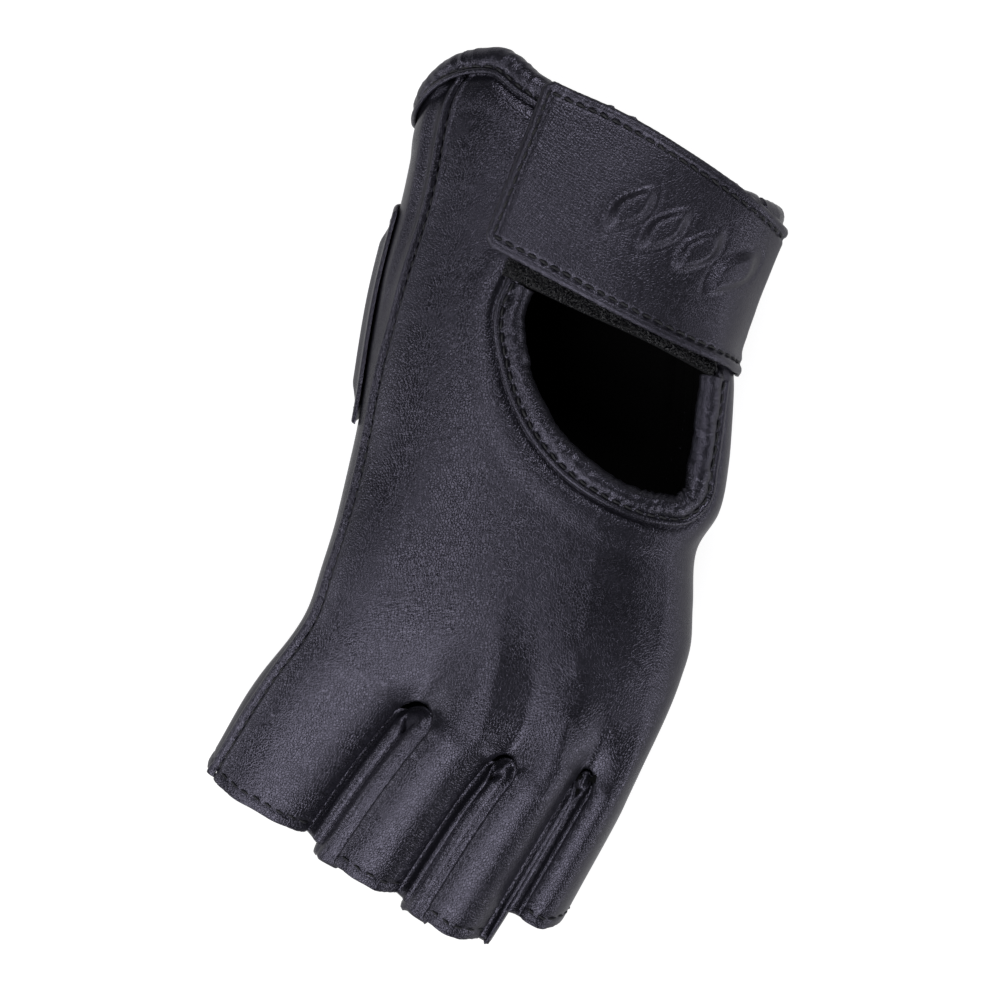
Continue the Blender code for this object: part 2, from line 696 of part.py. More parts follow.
def palm_patch():
    """Leather with a thin sewn rim, raised in the middle over a sheet of foam."""
    a, y = patch_grid(PATCH_ANGLES, PATCH_Y)
    raised_here = np.zeros(a.shape)
    raised_here[2:-2, 2:-2] = 1.0
    thick = LEATHER + raised_here * (PATCH_THICK - LEATHER)
    hollow = PATCH_GAP + raised_here * (PATCH_THICK - LEATHER)
    slab("palm_patch", a, y, hollow, LAYER_GAP + thick, black_leather())
    inside = (slice(3, -3), slice(3, -3))
    foam = np.full(a[inside].shape, LAYER_GAP)
    slab("palm_patch_foam", a[inside], y[inside], foam, foam + FOAM, foam_grey())


# Threads, as one tube for each row of stitches


def thread(name, points, closed=False):
    curve = bpy.data.curves.new(name, "CURVE")
    curve.dimensions = "3D"
    curve.bevel_depth = THREAD / 2 * MM
    curve.bevel_resolution = 0
    curve.use_fill_caps = True
    spline = curve.splines.new("POLY")
    spline.points.add(len(points) - 1)
    for point, place_mm in zip(spline.points, points):
        point.co = (*((np.array(place_mm) - ORIGIN) * MM), 1.0)
    spline.use_cyclic_u = closed
    curve.materials.append(thread_black())
    node = bpy.data.objects.new(name, curve)
    glove_collection().objects.link(node)
    return node


THREAD_LIFT = LAYER_GAP + THREAD / 2
BINDING_HEIGHT = 1.4  # of the bindings over the leather that they cover
OPENING_ROW = 1.6  # from the opening's edge to its stitches
CUFF_ROW = 0.9
STRAP_ROW = 2.4
STRAP_ROW_ENDS = 160.0  # the angle where the strap's stitches stop, short of its hinge


def opening_thread():
    places, into, out = round_opening(40)
    thread("opening_thread", places + OPENING_ROW * into + (BINDING_HEIGHT + THREAD_LIFT) * out)


def cuff_thread():
    angle, y = round_cuff(49)
    out = normals(on_hand, angle, y)
    thread("cuff_thread", on_hand(angle, y + CUFF_ROW) + (BINDING_HEIGHT + THREAD_LIFT) * out)


def strap_thread():
    """Round the strap, a few millimetres inside its edge."""
    (x0, y0), (x1, y1) = STRAP_FREE_END
    free = [angle_at(x0 - STRAP_ROW, y0 - STRAP_ROW), angle_at(x1 - STRAP_ROW, y1 + STRAP_ROW)]
    near, far = STRAP_EDGES
    out = np.linspace(STRAP_ROW_ENDS, free[0], 16)
    down = np.linspace(0, 1, 10)[1:-1]
    back = np.linspace(free[1], STRAP_ROW_ENDS, 16)
    angle = np.concatenate([out, free[0] + down * (free[1] - free[0]), back])
    first, last = near(free[0]) - STRAP_ROW, far(free[1]) + STRAP_ROW
    y = np.concatenate([near(out) - STRAP_ROW, first + down * (last - first), far(back) + STRAP_ROW])
    return thread("strap_thread", worn(STACK["outer"] + LEATHER + THREAD_LIFT)(angle, y))


def hem_thread(finger):
    """The row of stitches over the back of one finger's hem."""
    start, end = tube_angles(BACK_ANGLES, finger, 95.0)
    angle = np.linspace(start + 6, min(end, 200) - 6, 9)
    y = end_of(finger, angle) - 2.6

    def tube(a, b):
        return on_finger(finger, a, b)

    thread(f"{FINGERS[finger]}_hem_thread", raised(tube, THREAD_LIFT)(angle, y))


def side_seam_thread():
    """Beside the seam that joins the back to the palm along the thumb side."""
    y = np.linspace(-66.0, FINGER_END[INDEX] - 8, 40)

    def back(u, at):
        return panel_point(BACK_ANGLES, BACK_FORKS, INDEX, u, at)

    thread("side_seam_thread", raised(back, THREAD_LIFT)(np.full(y.shape, 0.075), y))


def thumb_hem_thread():
    turn = np.arange(0, 360, 22.5)
    places = thumb_point(turn, np.full(turn.shape, 0.93))
    middle = places.mean(axis=0)
    out = places - middle
    out *= (1, 1, 4)
    out /= np.linalg.norm(out, axis=1, keepdims=True)
    thread("thumb_hem_thread", places + (THREAD_LIFT + 0.2) * out, closed=True)


def patch_thread():
    """Round the padded patch, on its flat rim."""
    a, y = patch_grid(PATCH_ANGLES, PATCH_Y)
    inner = [(1, j) for j in range(1, a.shape[1] - 1)] + [(i, -2) for i in range(2, a.shape[0] - 2)]
    inner += [(-2, j) for j in range(a.shape[1] - 2, 0, -1)] + [(i, 1) for i in range(a.shape[0] - 3, 1, -1)]
    at = np.array([(a[i, j], y[i, j]) for i, j in inner])
    lift = LAYER_GAP + LEATHER + THREAD_LIFT
    thread("palm_patch_thread", raised(on_hand, lift)(at[:, 0], at[:, 1]), closed=True)


def main():
    for leftover in list(bpy.data.objects):
        bpy.data.objects.remove(leftover)
    back_panel()
    palm_panel()
    thumb_panel()
    for slot, name in enumerate(("index_middle", "middle_ring", "ring_little")):
        fourchette(slot, f"{name}_fourchette")
    opening_binding()
    cuff_binding()
    loop_tape()
    strap()
    strap_anchor()
    palm_patch()
    opening_thread()
    cuff_thread()
    side_seam_thread()
    patch_thread()
    thumb_hem_thread()
    for finger in range(4):
        hem_thread(finger)


main()
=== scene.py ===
"""The looks of a left fingerless leather glove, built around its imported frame.

Like the CAD model, the script works in millimetres from a drafting point on the back of the hand. +Y runs
towards the fingertips, +X to the thumb side and +Z out of the back of the hand. `piece` moves each finished
mesh to metres in the shared frame. The surface functions repeat the CAD model's, and what is added here is
relief: rolled seams, hems, bindings, stitches, creases, pile and grain.
"""

import math

import bmesh
import bpy
import numpy as np
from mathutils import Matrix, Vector, noise


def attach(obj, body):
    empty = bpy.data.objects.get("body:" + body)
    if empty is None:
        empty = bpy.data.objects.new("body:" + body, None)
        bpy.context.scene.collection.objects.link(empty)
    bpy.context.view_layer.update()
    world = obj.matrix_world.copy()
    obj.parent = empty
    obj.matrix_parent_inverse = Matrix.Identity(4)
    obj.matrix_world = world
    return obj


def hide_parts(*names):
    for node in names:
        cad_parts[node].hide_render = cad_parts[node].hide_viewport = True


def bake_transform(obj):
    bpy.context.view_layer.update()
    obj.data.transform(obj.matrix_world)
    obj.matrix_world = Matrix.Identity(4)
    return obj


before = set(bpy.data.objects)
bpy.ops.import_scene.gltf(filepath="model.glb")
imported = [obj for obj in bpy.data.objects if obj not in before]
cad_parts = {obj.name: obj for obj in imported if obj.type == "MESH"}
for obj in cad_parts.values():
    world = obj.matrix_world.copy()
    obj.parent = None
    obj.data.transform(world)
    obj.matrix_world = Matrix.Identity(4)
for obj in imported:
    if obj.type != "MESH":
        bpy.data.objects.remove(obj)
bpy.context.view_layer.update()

MM = 0.001
ORIGIN = np.array((13.03, 7.99, 0.0))  # the frame's origin, in drafting millimetres
GLOVE, STRAP = "glove", "strap"

# The CAD model's driving dimensions, in millimetres and degrees.
LEATHER = 1.2
TAPE = 0.9
LINING = 0.7
LAYER_GAP = 0.3
FLOOR_FLAT = 3.1  # the palm leather is pressed flat at this height, over its patch
PATCH_THICK = FLOOR_FLAT - LAYER_GAP
SQUARENESS = 2.35  # superellipse exponent of every section
FINGER_GAP = 0.75  # half the gap between neighbouring fingers
SLOT_ROUND = 5.0  # length of the round end of the slot between two fingers
HEM_TILT = 5.0  # how far each finger's end leans back, from its top to its middle height
WRIST_ROW = -38.0  # the row of the panels where the cuff ends and the hand begins

# ---- The glove's surface, as in the CAD model ----


def through(*points):
    """A smooth function through (position, value) points, level beyond its ends."""
    at, value = (np.array(column, float) for column in zip(*points))
    slope = np.gradient(value, at)

    def curve(x):
        x = np.clip(x, at[0], at[-1])
        k = np.clip(np.searchsorted(at, x, side="right") - 1, 0, len(at) - 2)
        step = at[k + 1] - at[k]
        u = (x - at[k]) / step
        return (
            (1 + 2 * u) * (1 - u) ** 2 * value[k]
            + u * (1 - u) ** 2 * step * slope[k]
            + u * u * (3 - 2 * u) * value[k + 1]
            + u * u * (u - 1) * step * slope[k + 1]
        )

    return curve


def smooth(x, low, high):
    u = np.clip((x - low) / (high - low), 0.0, 1.0)
    return u * u * (3 - 2 * u)


thumb_side = through(
    (-88, 75.0), (-66, 75.0), (-50, 69.2), (-20, 60.4), (10, 49.2), (30, 43.1), (40, 40.8), (52, 38.2),
    (70, 40.1), (98, 41.0)
)
little_side = through(
    (-88, -10.6), (-76, -12.0), (-60, -15.2), (-49, -18.3), (-42, -22.4), (-35, -26.1), (-27, -29.9),
    (-16, -33.6), (-6, -33.4), (6, -39.2), (14, -43.3), (22, -45.4), (55, -48.8), (75, -49.4), (98, -50.0)
)
back_height = through((-88, 42.0), (-60, 44.0), (-20, 45.0), (20, 44.0), (57, 41.0))
wide_height = through((-88, 21.0), (-20, 23.0), (20, 26.0), (57, 25.5))
palm_height = through((-88, 2.6), (4, 2.6), (26, 15.6), (60, 15.2))
finger_lines = (
    thumb_side,
    through((-84, 44), (-60, 38.5), (-20, 27), (20, 13), (57.5, 4.0), (68, 5.6), (80, 7.2), (97, 8.6)),
    through((-84, 26), (-60, 20), (-20, 7), (20, -9), (58, -18.5), (70, -16.8), (85, -15.8), (98, -15.3)),
    through((-84, 8), (-60, 2), (-20, -12), (20, -28), (51.5, -36.5), (65, -36.6), (98, -36.3)),
    little_side,
)
INDEX, LITTLE = 0, 3
FINGERS = ("index", "middle", "ring", "little")
finger_top = (
    through((10, 43), (30, 41.2), (45, 38.2), (57, 35.2), (98, 23.0)),
    through((10, 45), (30, 45), (57, 42.0), (100, 26.6)),
    through((10, 43), (30, 43), (57, 40.5), (100, 26.2)),
    through((10, 36), (30, 37), (50, 35.0), (88, 24.5)),
)
finger_bottom = (
    through((10, 15), (57, 16.0), (98, 2.4)),
    through((10, 15), (57, 15.2), (100, 1.2)),
    through((10, 15), (57, 14.8), (100, 1.0)),
    through((10, 14), (50, 13.0), (88, 1.0)),
)
FINGER_END = (98.5, 100.5, 100.9, 89.1)
seam_angle = through((-80, 36), (-50, 35), (-20, 30), (10, 24), (30, 26), (57, 36), (98, 38))
LITTLE_SEAM = -132.0
cuff_edge = through(
    (-180, -81.2), (-132, -80.0), (-90, -74.0), (-45, -65.5), (-8, -62.0), (8, -65.5), (20, -71.5),
    (34, -77.4), (48, -80.8), (62, -79.7), (76, -79.5), (90, -80.6), (140, -80.6), (165, -81.4), (180, -81.2)
)
BACK_ANGLES = ((None, 143.0), (53.0, 150.0), (60.0, 160.0), (57.0, 360 + LITTLE_SEAM))
PALM_ANGLES = ((None, -145.0), (-40.0, -145.0), (-40.0, -150.0), (-50.0, LITTLE_SEAM))
BACK_FORKS = (57.5, 58.0, 51.5)
PALM_FORKS = (60.0, 60.5, 54.0)


def power(value, exponent):
    return np.sign(value) * np.abs(value) ** exponent


def section(angle, left, right, low, level, high):
    """x and z on a superellipse between those limits. Angle 0 is at the right, 90 on top."""
    cosine, sine = np.cos(np.radians(angle)), np.sin(np.radians(angle))
    x = (right + left) / 2 + (right - left) / 2 * power(cosine, 2 / SQUARENESS)
    z = level + np.where(sine > 0, high - level, level - low) * power(sine, 2 / SQUARENESS)
    return x, z


def on_hand(angle, y):
    """A point on the outside of the glove round the hand."""
    angle, y = np.broadcast_arrays(np.asarray(angle, float), np.asarray(y, float))
    x, z = section(angle, little_side(y), thumb_side(y), palm_height(y), wide_height(y), back_height(y))
    return np.stack([x, y, np.maximum(z, FLOOR_FLAT)], axis=-1)


def on_finger(finger, angle, y):
    """A point on the outside of a finger's tube."""
    angle, y = np.broadcast_arrays(np.asarray(angle, float), np.asarray(y, float))
    right = finger_lines[finger](y) - (FINGER_GAP if finger > INDEX else 0)
    left = finger_lines[finger + 1](y) + (FINGER_GAP if finger < LITTLE else 0)
    low, high = finger_bottom[finger](y), finger_top[finger](y)
    x, z = section(angle, left, right, low, (low + high) / 2, high)
    return np.stack([x, y, z], axis=-1)


def unit(vectors):
    return vectors / np.linalg.norm(vectors, axis=-1, keepdims=True)


def normals(surface, a, b, step_a=0.4, step_b=0.4):
    """Unit normals of surface(a, b), out of a glove whose a turns from the thumb side over the back."""
    along_a = surface(a + step_a, b) - surface(a - step_a, b)
    along_b = surface(a, b + step_b) - surface(a, b - step_b)
    return unit(np.cross(along_b, along_a))


def raised(surface, lift):
    """The surface again, lift millimetres outside it."""

    def outside(a, b):
        return surface(a, b) + lift * normals(surface, a, b)

    return outside


def angle_at(x, y):
    """The angle round the hand, on its back, at a plan position."""
    half = (thumb_side(y) - little_side(y)) / 2
    share = np.clip((x - little_side(y)) / half - 1, -1, 1)
    return np.degrees(np.arccos(power(share, SQUARENESS / 2)))


def tube_angles(angles, finger, y):
    start, end = angles[finger]
    return (seam_angle(y) if start is None else start), end


def slot_opening(fork, y, share=1.0):
    """0 behind the fork between two fingers, 1 where the slot between them has its full width. The share is 1
    at the slot's edge, where it opens as a round U, and less inside the panel, where it opens softly."""
    u = np.clip((y - fork) / SLOT_ROUND, 0, 1)
    return (1 - (1 - u) ** 2) ** (0.5 + 2.4 * (1 - share))


def panel_point(angles, forks, finger, u, y):
    """A point on a panel. u runs 0 to 1 over a finger's strip, from its thumb side, and on over the hand."""
    side = 1 if angles is BACK_ANGLES else -1
    knots = [seam_angle(y)]
    knots += [side * angle_at(line(y), y) for line in finger_lines[1:4]]
    knots += [angles[LITTLE][1] + 0 * y]
    hand = on_hand(knots[finger] + u * (knots[finger + 1] - knots[finger]), y)
    start, end = tube_angles(angles, finger, y)
    tube = on_finger(finger, start + u * (end - start), y)
    late = 0 * y
    for slot, share in ((finger - 1, 1 - u), (finger, u)):
        if 0 <= slot < 3:
            near, far = (slot + 1, slot) if slot < finger else (slot, slot + 1)
            mine = tube_angles(angles, finger, y)[0 if slot < finger else 1]
            other = tube_angles(angles, far, y)[1 if slot < finger else 0]
            edge = on_finger(near, mine, y)
            middle = (edge + on_finger(far, other, y)) / 2
            pull = (1 - slot_opening(forks[slot], y, share)) * share**3
            late = np.maximum(late, share)
            tube = tube + pull[..., None] * (middle - edge)
    blend = smooth(y, 12.0 + 20.0 * late**3, 58.0)[..., None]
    return hand + blend * (tube - hand)


def end_of(finger, angle):
    """How far a finger reaches, by the angle round it."""
    return FINGER_END[finger] - HEM_TILT * (1 - np.sin(np.radians(angle)))


def hem_y(angles, finger, u):
    """Where a panel ends on a finger, by the share round it. The cut wavers a little."""
    start, end = tube_angles(angles, finger, 95.0)
    waver = 0.16 * np.sin(9 * u + 2 * finger) + 0.08 * np.sin(23 * u)
    return end_of(finger, start + u * (end - start)) + waver


def angles_at_cuff(angles, line):
    return (1 if angles is BACK_ANGLES else -1) * angle_at(line(-80.0), -80.0)


# ---- Lines and fields that the relief follows ----


def reach(line):
    """The distance along a line of points."""
    return np.concatenate([[0], np.cumsum(np.linalg.norm(np.diff(line, axis=0), axis=1))])


def read_off(values, along, at):
    """A line's points, or values that go with them, read off at distances along it."""
    return np.stack([np.interp(at, along, column) for column in values.T], axis=1)


def evenly(line, step):
    """The line again, with a point every step millimetres."""
    along = reach(line)
    at = np.linspace(0, along[-1], max(2, int(round(along[-1] / step))))
    return read_off(line, along, at)


def outline(points, count):
    """count points evenly spaced on a smooth line through the given ones."""
    points = np.array(points, float)
    along = reach(points)
    fine = np.linspace(0, along[-1], 40 * len(points))
    line = np.stack([through(*zip(along, column))(fine) for column in points.T], axis=1)
    along = reach(line)
    return read_off(line, along, np.linspace(0, along[-1], count))


def nearest(points, line, within=9.0):
    """Each point's distance to the line, and how far along it the nearest place is. Far points get within."""
    distance = np.full(len(points), within)
    along = np.zeros(len(points))
    near = np.all((points > line.min(axis=0) - within) & (points < line.max(axis=0) + within), axis=1)
    index = np.flatnonzero(near)
    lengths = reach(line)
    for part in np.array_split(index, len(index) // 4000 + 1):
        apart = np.linalg.norm(points[part][:, None, :] - line[None], axis=2)
        closest = apart.argmin(axis=1)
        distance[part] = np.minimum(apart.min(axis=1), within)
        along[part] = lengths[closest]
    return distance, along


def roll(distance, radius):
    """How far a surface drops at that distance from an edge that rolls under with this radius."""
    u = np.clip(1 - distance / radius, 0, 1)
    return radius * (np.sqrt(1 - u * u) - 1)


def bump(distance, centre, half):
    """A smooth ridge of height 1, half wide each side of a distance."""
    u = np.clip(np.abs(distance - centre) / half, 0, 1)
    return (1 - u * u) ** 2


def at_holes(along):
    """1 where a needle hole pulls the leather in, 0 halfway between two."""
    return 0.5 + 0.5 * np.cos(along * 2 * math.pi / STITCH["pitch"])


def rough(points, size, seed):
    """Smooth noise from about -1 to 1 with features of that size in millimetres."""
    size = np.broadcast_to(np.asarray(size, float), 3)
    return np.array([noise.noise(Vector(p)) for p in points / size + (seed * 7.3, seed * 3.1, seed * 5.7)])


# ---- Meshes ----


def add_grid(bm, points, loop=False, flip=False):
    """Quads over a grid of points, rows by columns. loop joins the last column to the first."""
    rows, columns = points.shape[:2]
    verts = [[bm.verts.new(p) for p in row] for row in points.tolist()]
    for i in range(rows - 1):
        for j in range(columns if loop else columns - 1):
            k = (j + 1) % columns
            corners = [verts[i][j], verts[i][k], verts[i + 1][k], verts[i + 1][j]]
            bm.faces.new(corners[::-1] if flip else corners)
    return verts


def points_of(bm):
    return np.array([v.co for v in bm.verts])


def face_towards(bm, out):
    """Turns a sheet over if it faces away from out, a direction for each vertex."""
    bm.normal_update()
    if sum(vert.normal.dot(Vector(way)) for vert, way in zip(bm.verts, out)) < 0:
        bmesh.ops.reverse_faces(bm, faces=bm.faces)


def displace(bm, height):
    """Moves every vertex along its normal by height(points)."""
    bm.normal_update()
    points = points_of(bm)
    out = np.array([v.normal for v in bm.verts])
    for vert, place in zip(bm.verts, (points + height(points)[:, None] * out).tolist()):
        vert.co = place


def show(name, data):
    made = bpy.data.objects.new(name, data)
    bpy.context.scene.collection.objects.link(made)
    return made


def piece(name, bm, finishes, body, replaced=(), thickness=0.0):
    """Makes a piece from a mesh in drafting millimetres and hides the CAD parts it stands for. An open sheet
    gets a thickness, and its inner side the second finish."""
    bmesh.ops.translate(bm, verts=bm.verts, vec=Vector(-ORIGIN))
    bmesh.ops.scale(bm, verts=bm.verts, vec=(MM, MM, MM))
    mesh = bpy.data.meshes.new(name)
    bm.to_mesh(mesh)
    bm.free()
    mesh.shade_smooth()
    made = show(name, mesh)
    for finish in finishes:
        mesh.materials.append(finish)
    if thickness:
        thicken(made, thickness, len(finishes) > 1)
    if body:
        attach(made, body)
    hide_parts(*replaced)
    return made


def thicken(made, thickness, two_sided):
    """Turns an open sheet into a closed one that grows inwards, with the modifier applied."""
    skin = made.modifiers.new("thickness", "SOLIDIFY")
    skin.thickness = thickness * MM
    skin.offset = -1.0
    if two_sided:
        skin.material_offset = 1
    graph = bpy.context.evaluated_depsgraph_get()
    solid = bpy.data.meshes.new_from_object(made.evaluated_get(graph))
    made.modifiers.clear()
    made.data = solid


def sweep_grid(places, inwards, outwards, sections):
    """Rings of points: each place's section, (into, out) pairs, laid along its two directions."""
    a, b = sections[..., 0, None], sections[..., 1, None]
    return places[:, None] + a * inwards[:, None] + b * outwards[:, None]


def tube_rings(line, ups, radius, sides):
    """Rings of a round tube along a line."""
    along = unit(np.gradient(line, axis=0))
    beside = unit(np.cross(along, ups))
    over = np.cross(beside, along)
    turn = np.arange(sides) * 2 * math.pi / sides
    ring = np.cos(turn)[None, :, None] * beside[:, None] + np.sin(turn)[None, :, None] * over[:, None]
    return line[:, None] + np.asarray(radius)[..., None, None] * ring


def add_tube(bm, rings):
    verts = add_grid(bm, rings, loop=True)
    bm.faces.new(verts[0][::-1])
    bm.faces.new(verts[-1])


STITCH = {"pitch": 3.0, "length": 2.5, "radius": 0.3, "rise": 0.3, "sink": 0.75}


def stitch_row(name, line, ups, replaced, body=GLOVE, lean=0.12, heft=1.0):
    """A row of separate stitches along a line, each arched out of the leather and diving in at its ends."""
    along = reach(line)
    count = int(along[-1] // STITCH["pitch"])
    pitch = along[-1] / count
    bm = bmesh.new()
    share = np.linspace(-0.5, 0.5, 7)
    for k in range(count):
        at = (k + 0.5) * pitch + share * STITCH["length"]
        points = read_off(line, along, at)
        up = unit(read_off(ups, along, at))
        beside = unit(np.cross(points[-1] - points[0], up))
        arch = STITCH["rise"] - STITCH["sink"] * np.abs(2 * share) ** 3
        uneven = lean * math.sin(2.4 * k)
        points = points + arch[:, None] * up + ((lean + uneven) * 2 * share)[:, None] * beside
        radius = heft * STITCH["radius"] * (1 - 0.35 * np.abs(2 * share) ** 3)
        add_tube(bm, tube_rings(points, up, radius, 8))
    bmesh.ops.recalc_face_normals(bm, faces=bm.faces)
    return piece(name, bm, [thread_black()], body, replaced)


# ---- Materials ----


class Nodes:
    """A short way to write a material's node tree, in object space metres."""

    def __init__(self, name):
        self.material = bpy.data.materials.new(name)
        self.material.use_nodes = True
        self.tree = self.material.node_tree
        self.shader = self.tree.nodes["Principled BSDF"]
        self.place = self.add("ShaderNodeTexCoord").outputs["Object"]

    def add(self, kind, **settings):
        node = self.tree.nodes.new(kind)
        for key, value in settings.items():
            setattr(node, key, value)
        return node

    def link(self, source, target):
        self.tree.links.new(source, target)

    def texture(self, kind, per_metre, place=None, **settings):
        node = self.add(kind, **settings)
        node.inputs["Scale"].default_value = per_metre
        self.link(place or self.place, node.inputs["Vector"])
        return node

    def noise(self, per_metre, detail=2.0, roughness=0.5, place=None):
        node = self.texture("ShaderNodeTexNoise", per_metre, place)
        node.inputs["Detail"].default_value = detail
        node.inputs["Roughness"].default_value = roughness
        return node.outputs["Fac"]

    def cells(self, per_metre, feature="F1", place=None):
        return self.texture("ShaderNodeTexVoronoi", per_metre, place, feature=feature).outputs["Distance"]

    def math(self, operation, a, b=None):
        node = self.add("ShaderNodeMath", operation=operation)
        for socket, value in zip(node.inputs, (a, b)):
            if isinstance(value, (int, float)):
                socket.default_value = value
            elif value is not None:
                self.link(value, socket)
        return node.outputs[0]

    def mapped(self, value, low, high, to_low, to_high):
        node = self.add("ShaderNodeMapRange")
        self.link(value, node.inputs["Value"])
        for socket, number in zip(list(node.inputs)[1:5], (low, high, to_low, to_high)):
            socket.default_value = number
        return node.outputs["Result"]

    def warp(self, per_metre, amount):
        """The place, shifted by noise."""
        node = self.texture("ShaderNodeTexNoise", per_metre)
        scaled = self.add("ShaderNodeVectorMath", operation="MULTIPLY_ADD")
        self.link(node.outputs["Color"], scaled.inputs[0])
        scaled.inputs[1].default_value = (amount, amount, amount)
        self.link(self.place, scaled.inputs[2])
        return scaled.outputs[0]

    def stretch(self, factors, turn=0.0):
        node = self.add("ShaderNodeMapping")
        node.inputs["Scale"].default_value = factors
        node.inputs["Rotation"].default_value = (0, 0, turn)
        self.link(self.place, node.inputs["Vector"])
        return node.outputs[0]

    def colour(self, factor, dark, light):
        node = self.add("ShaderNodeMix", data_type="RGBA")
        self.link(factor, node.inputs["Factor"])
        node.inputs[6].default_value = (*dark, 1.0)
        node.inputs[7].default_value = (*light, 1.0)
        self.link(node.outputs[2], self.shader.inputs["Base Color"])

    def polish(self, value, low, high, shiny, dull):
        self.link(self.mapped(value, low, high, shiny, dull), self.shader.inputs["Roughness"])

    def bumps(self, height, distance):
        node = self.add("ShaderNodeBump")
        node.inputs["Strength"].default_value = 1.0
        node.inputs["Distance"].default_value = distance
        self.link(height, node.inputs["Height"])
        self.link(node.outputs["Normal"], self.shader.inputs["Normal"])

    def finish(self, **values):
        for key, value in values.items():
            self.shader.inputs[key.replace("_", " ")].default_value = value
        return self.material


HIDE_GLOSS = (0.82, 0.78, 1.0, 1.0)  # the black finish reflects a little blue


def leather(name, cell, grain_depth, dark, light, roughness, wrinkle=0.04):
    """Full-grain leather: pebbles of that cell size in millimetres between furrows, and a patchy polish."""
    n = Nodes(name)
    edges = n.cells(1000.0 / cell, "DISTANCE_TO_EDGE", n.warp(700.0, 0.0004))
    pebbles = n.mapped(edges, 0.0, 0.22, 0.0, 1.0)
    fine = n.noise(2600.0, 3.0, 0.6)
    creased = n.noise(300.0, 3.0, 0.55)
    height = n.math("ADD", pebbles, n.math("MULTIPLY", fine, 0.5))
    height = n.math("ADD", height, n.math("MULTIPLY", creased, wrinkle * 30.0))
    n.bumps(height, grain_depth * MM)
    patchy = n.noise(38.0, 4.0, 0.6)
    worn = n.mapped(n.math("ADD", patchy, n.math("MULTIPLY", edges, 0.6)), 0.35, 0.85, 0, 1)
    n.colour(worn, dark, light)
    handled = n.math("ADD", patchy, n.math("MULTIPLY", fine, 0.3))
    n.polish(handled, 0.35, 0.95, roughness - 0.06, roughness + 0.07)
    return n.finish(Specular_IOR_Level=0.8, Specular_Tint=HIDE_GLOSS)


MADE = {}


def once(make):
    """Makes a material the first time, and returns that one each time after."""

    def made():
        if make.__name__ not in MADE:
            MADE[make.__name__] = make()
        return MADE[make.__name__]

    return made


@once
def panel_leather():
    return leather("panel_leather", 0.62, 0.036, (0.0065, 0.0065, 0.0085), (0.011, 0.0108, 0.0145), 0.28)


@once
def strap_leather():
    return leather("strap_leather", 0.62, 0.036, (0.0075, 0.0075, 0.0095), (0.0135, 0.013, 0.017), 0.32)


@once
def binding_leather():
    return leather("binding_leather", 0.6, 0.03, (0.007, 0.007, 0.009), (0.014, 0.0138, 0.018), 0.28, 0.06)


@once
def suede_with_painted_shade():
    """The rough flesh side of the leather, inside the glove. Its near-black colour is partly painted shade
    for the shaded inside.
    """
    n = Nodes("suede_with_painted_shade")
    nap = n.noise(1800.0, 4.0, 0.7)
    n.bumps(nap, 0.2 * MM)
    # painted shade: the inside is coloured near-black, darker than the outer leather, to stand for the shade
    # inside the glove
    n.colour(n.noise(60.0, 3.0), (0.0015, 0.0015, 0.0015), (0.003, 0.0027, 0.0027))
    n.polish(nap, 0.3, 0.7, 0.9, 1.0)
    return n.finish(Specular_IOR_Level=0.15)


@once
def thread_black():
    n = Nodes("thread")
    twist = n.noise(3200.0, 2.0, 0.5, n.stretch((1.0, 1.0, 0.4), math.radians(35)))
    n.bumps(twist, 0.09 * MM)
    n.colour(twist, (0.004, 0.004, 0.005), (0.014, 0.014, 0.017))
    n.polish(twist, 0.3, 0.7, 0.45, 0.65)
    return n.finish(Specular_IOR_Level=0.5)


@once
def woven_nylon():
    """The ground of both tapes."""
    n = Nodes("woven_nylon")
    weave = n.math("MULTIPLY", n.cells(1900.0, "F1", n.stretch((1.0, 0.6, 1.0))), -1.0)
    n.bumps(weave, 0.15 * MM)
    n.colour(n.noise(2200.0, 2.0), (0.001, 0.001, 0.0015), (0.004, 0.004, 0.005))
    n.polish(n.noise(900.0, 2.0), 0.3, 0.7, 0.55, 0.8)
    return n.finish(Specular_IOR_Level=0.3)


@once
def nylon_fibre():
    """The loops and hooks, which glint."""
    n = Nodes("nylon_fibre")
    n.colour(n.noise(1500.0, 2.0), (0.002, 0.002, 0.003), (0.012, 0.012, 0.015))
    n.polish(n.noise(2500.0, 2.0), 0.3, 0.7, 0.18, 0.35)
    return n.finish(Specular_IOR_Level=1.0)


# ---- Places of the details ----

OPENING_CORNERS = (
    (33.2, -43.0), (31.6, -31.0), (24.5, -21.5), (14.5, -13.3), (3.0, -8.6), (-10.0, -7.6), (-21.0, -9.6)
)
OPENING_LITTLE_SIDE = ((-26.0, -12.4), (-27.4, -16.5), (-25.2, -23.5), (-19.4, -38.0), (-17.4, -43.0))
OPENING_WRIST = -44.0  # the row where the opening ends under the tape and the slit begins
SLIT_ANGLE = 150.0
SLIT_WIDTH = 1.9
LOOP_EDGE = through((-14.0, -42.2), (2, -41.6), (18, -40.0), (37.5, -38.4))
CUFF_END = 2.6  # degrees from the slit to each end of the cuff's binding
BOUND_TO = -42.9  # the row where the opening's binding ends, under the strap
BINDING_REACH = 3.4  # how far the bindings reach over the panel from its cut edge


def opening_edge(count):
    """The bound edge of the opening, from its thumb side round to its little-finger side."""
    return outline(OPENING_CORNERS + OPENING_LITTLE_SIDE, count)


def bound_edge(count):
    """The stretch of that edge that the binding covers, from the loop tape round to under the strap."""
    edge = opening_edge(count)
    clear_of_tape = (edge[:, 1] > LOOP_EDGE(edge[:, 0]) + 0.2) | (edge[:, 0] < 0)
    return edge[clear_of_tape & (edge[:, 1] > BOUND_TO)]


def slit_line(y):
    """The slit's middle line from above."""
    return np.stack([on_hand(SLIT_ANGLE, y)[..., 0], y], axis=-1)


def edge_frame(angle, y):
    """Places on a bound edge of the wrist, with the directions into the panel and out of it."""
    places = on_hand(angle, y)
    out = normals(on_hand, angle, y)
    return places, unit(np.cross(out, np.gradient(places, axis=0))), out


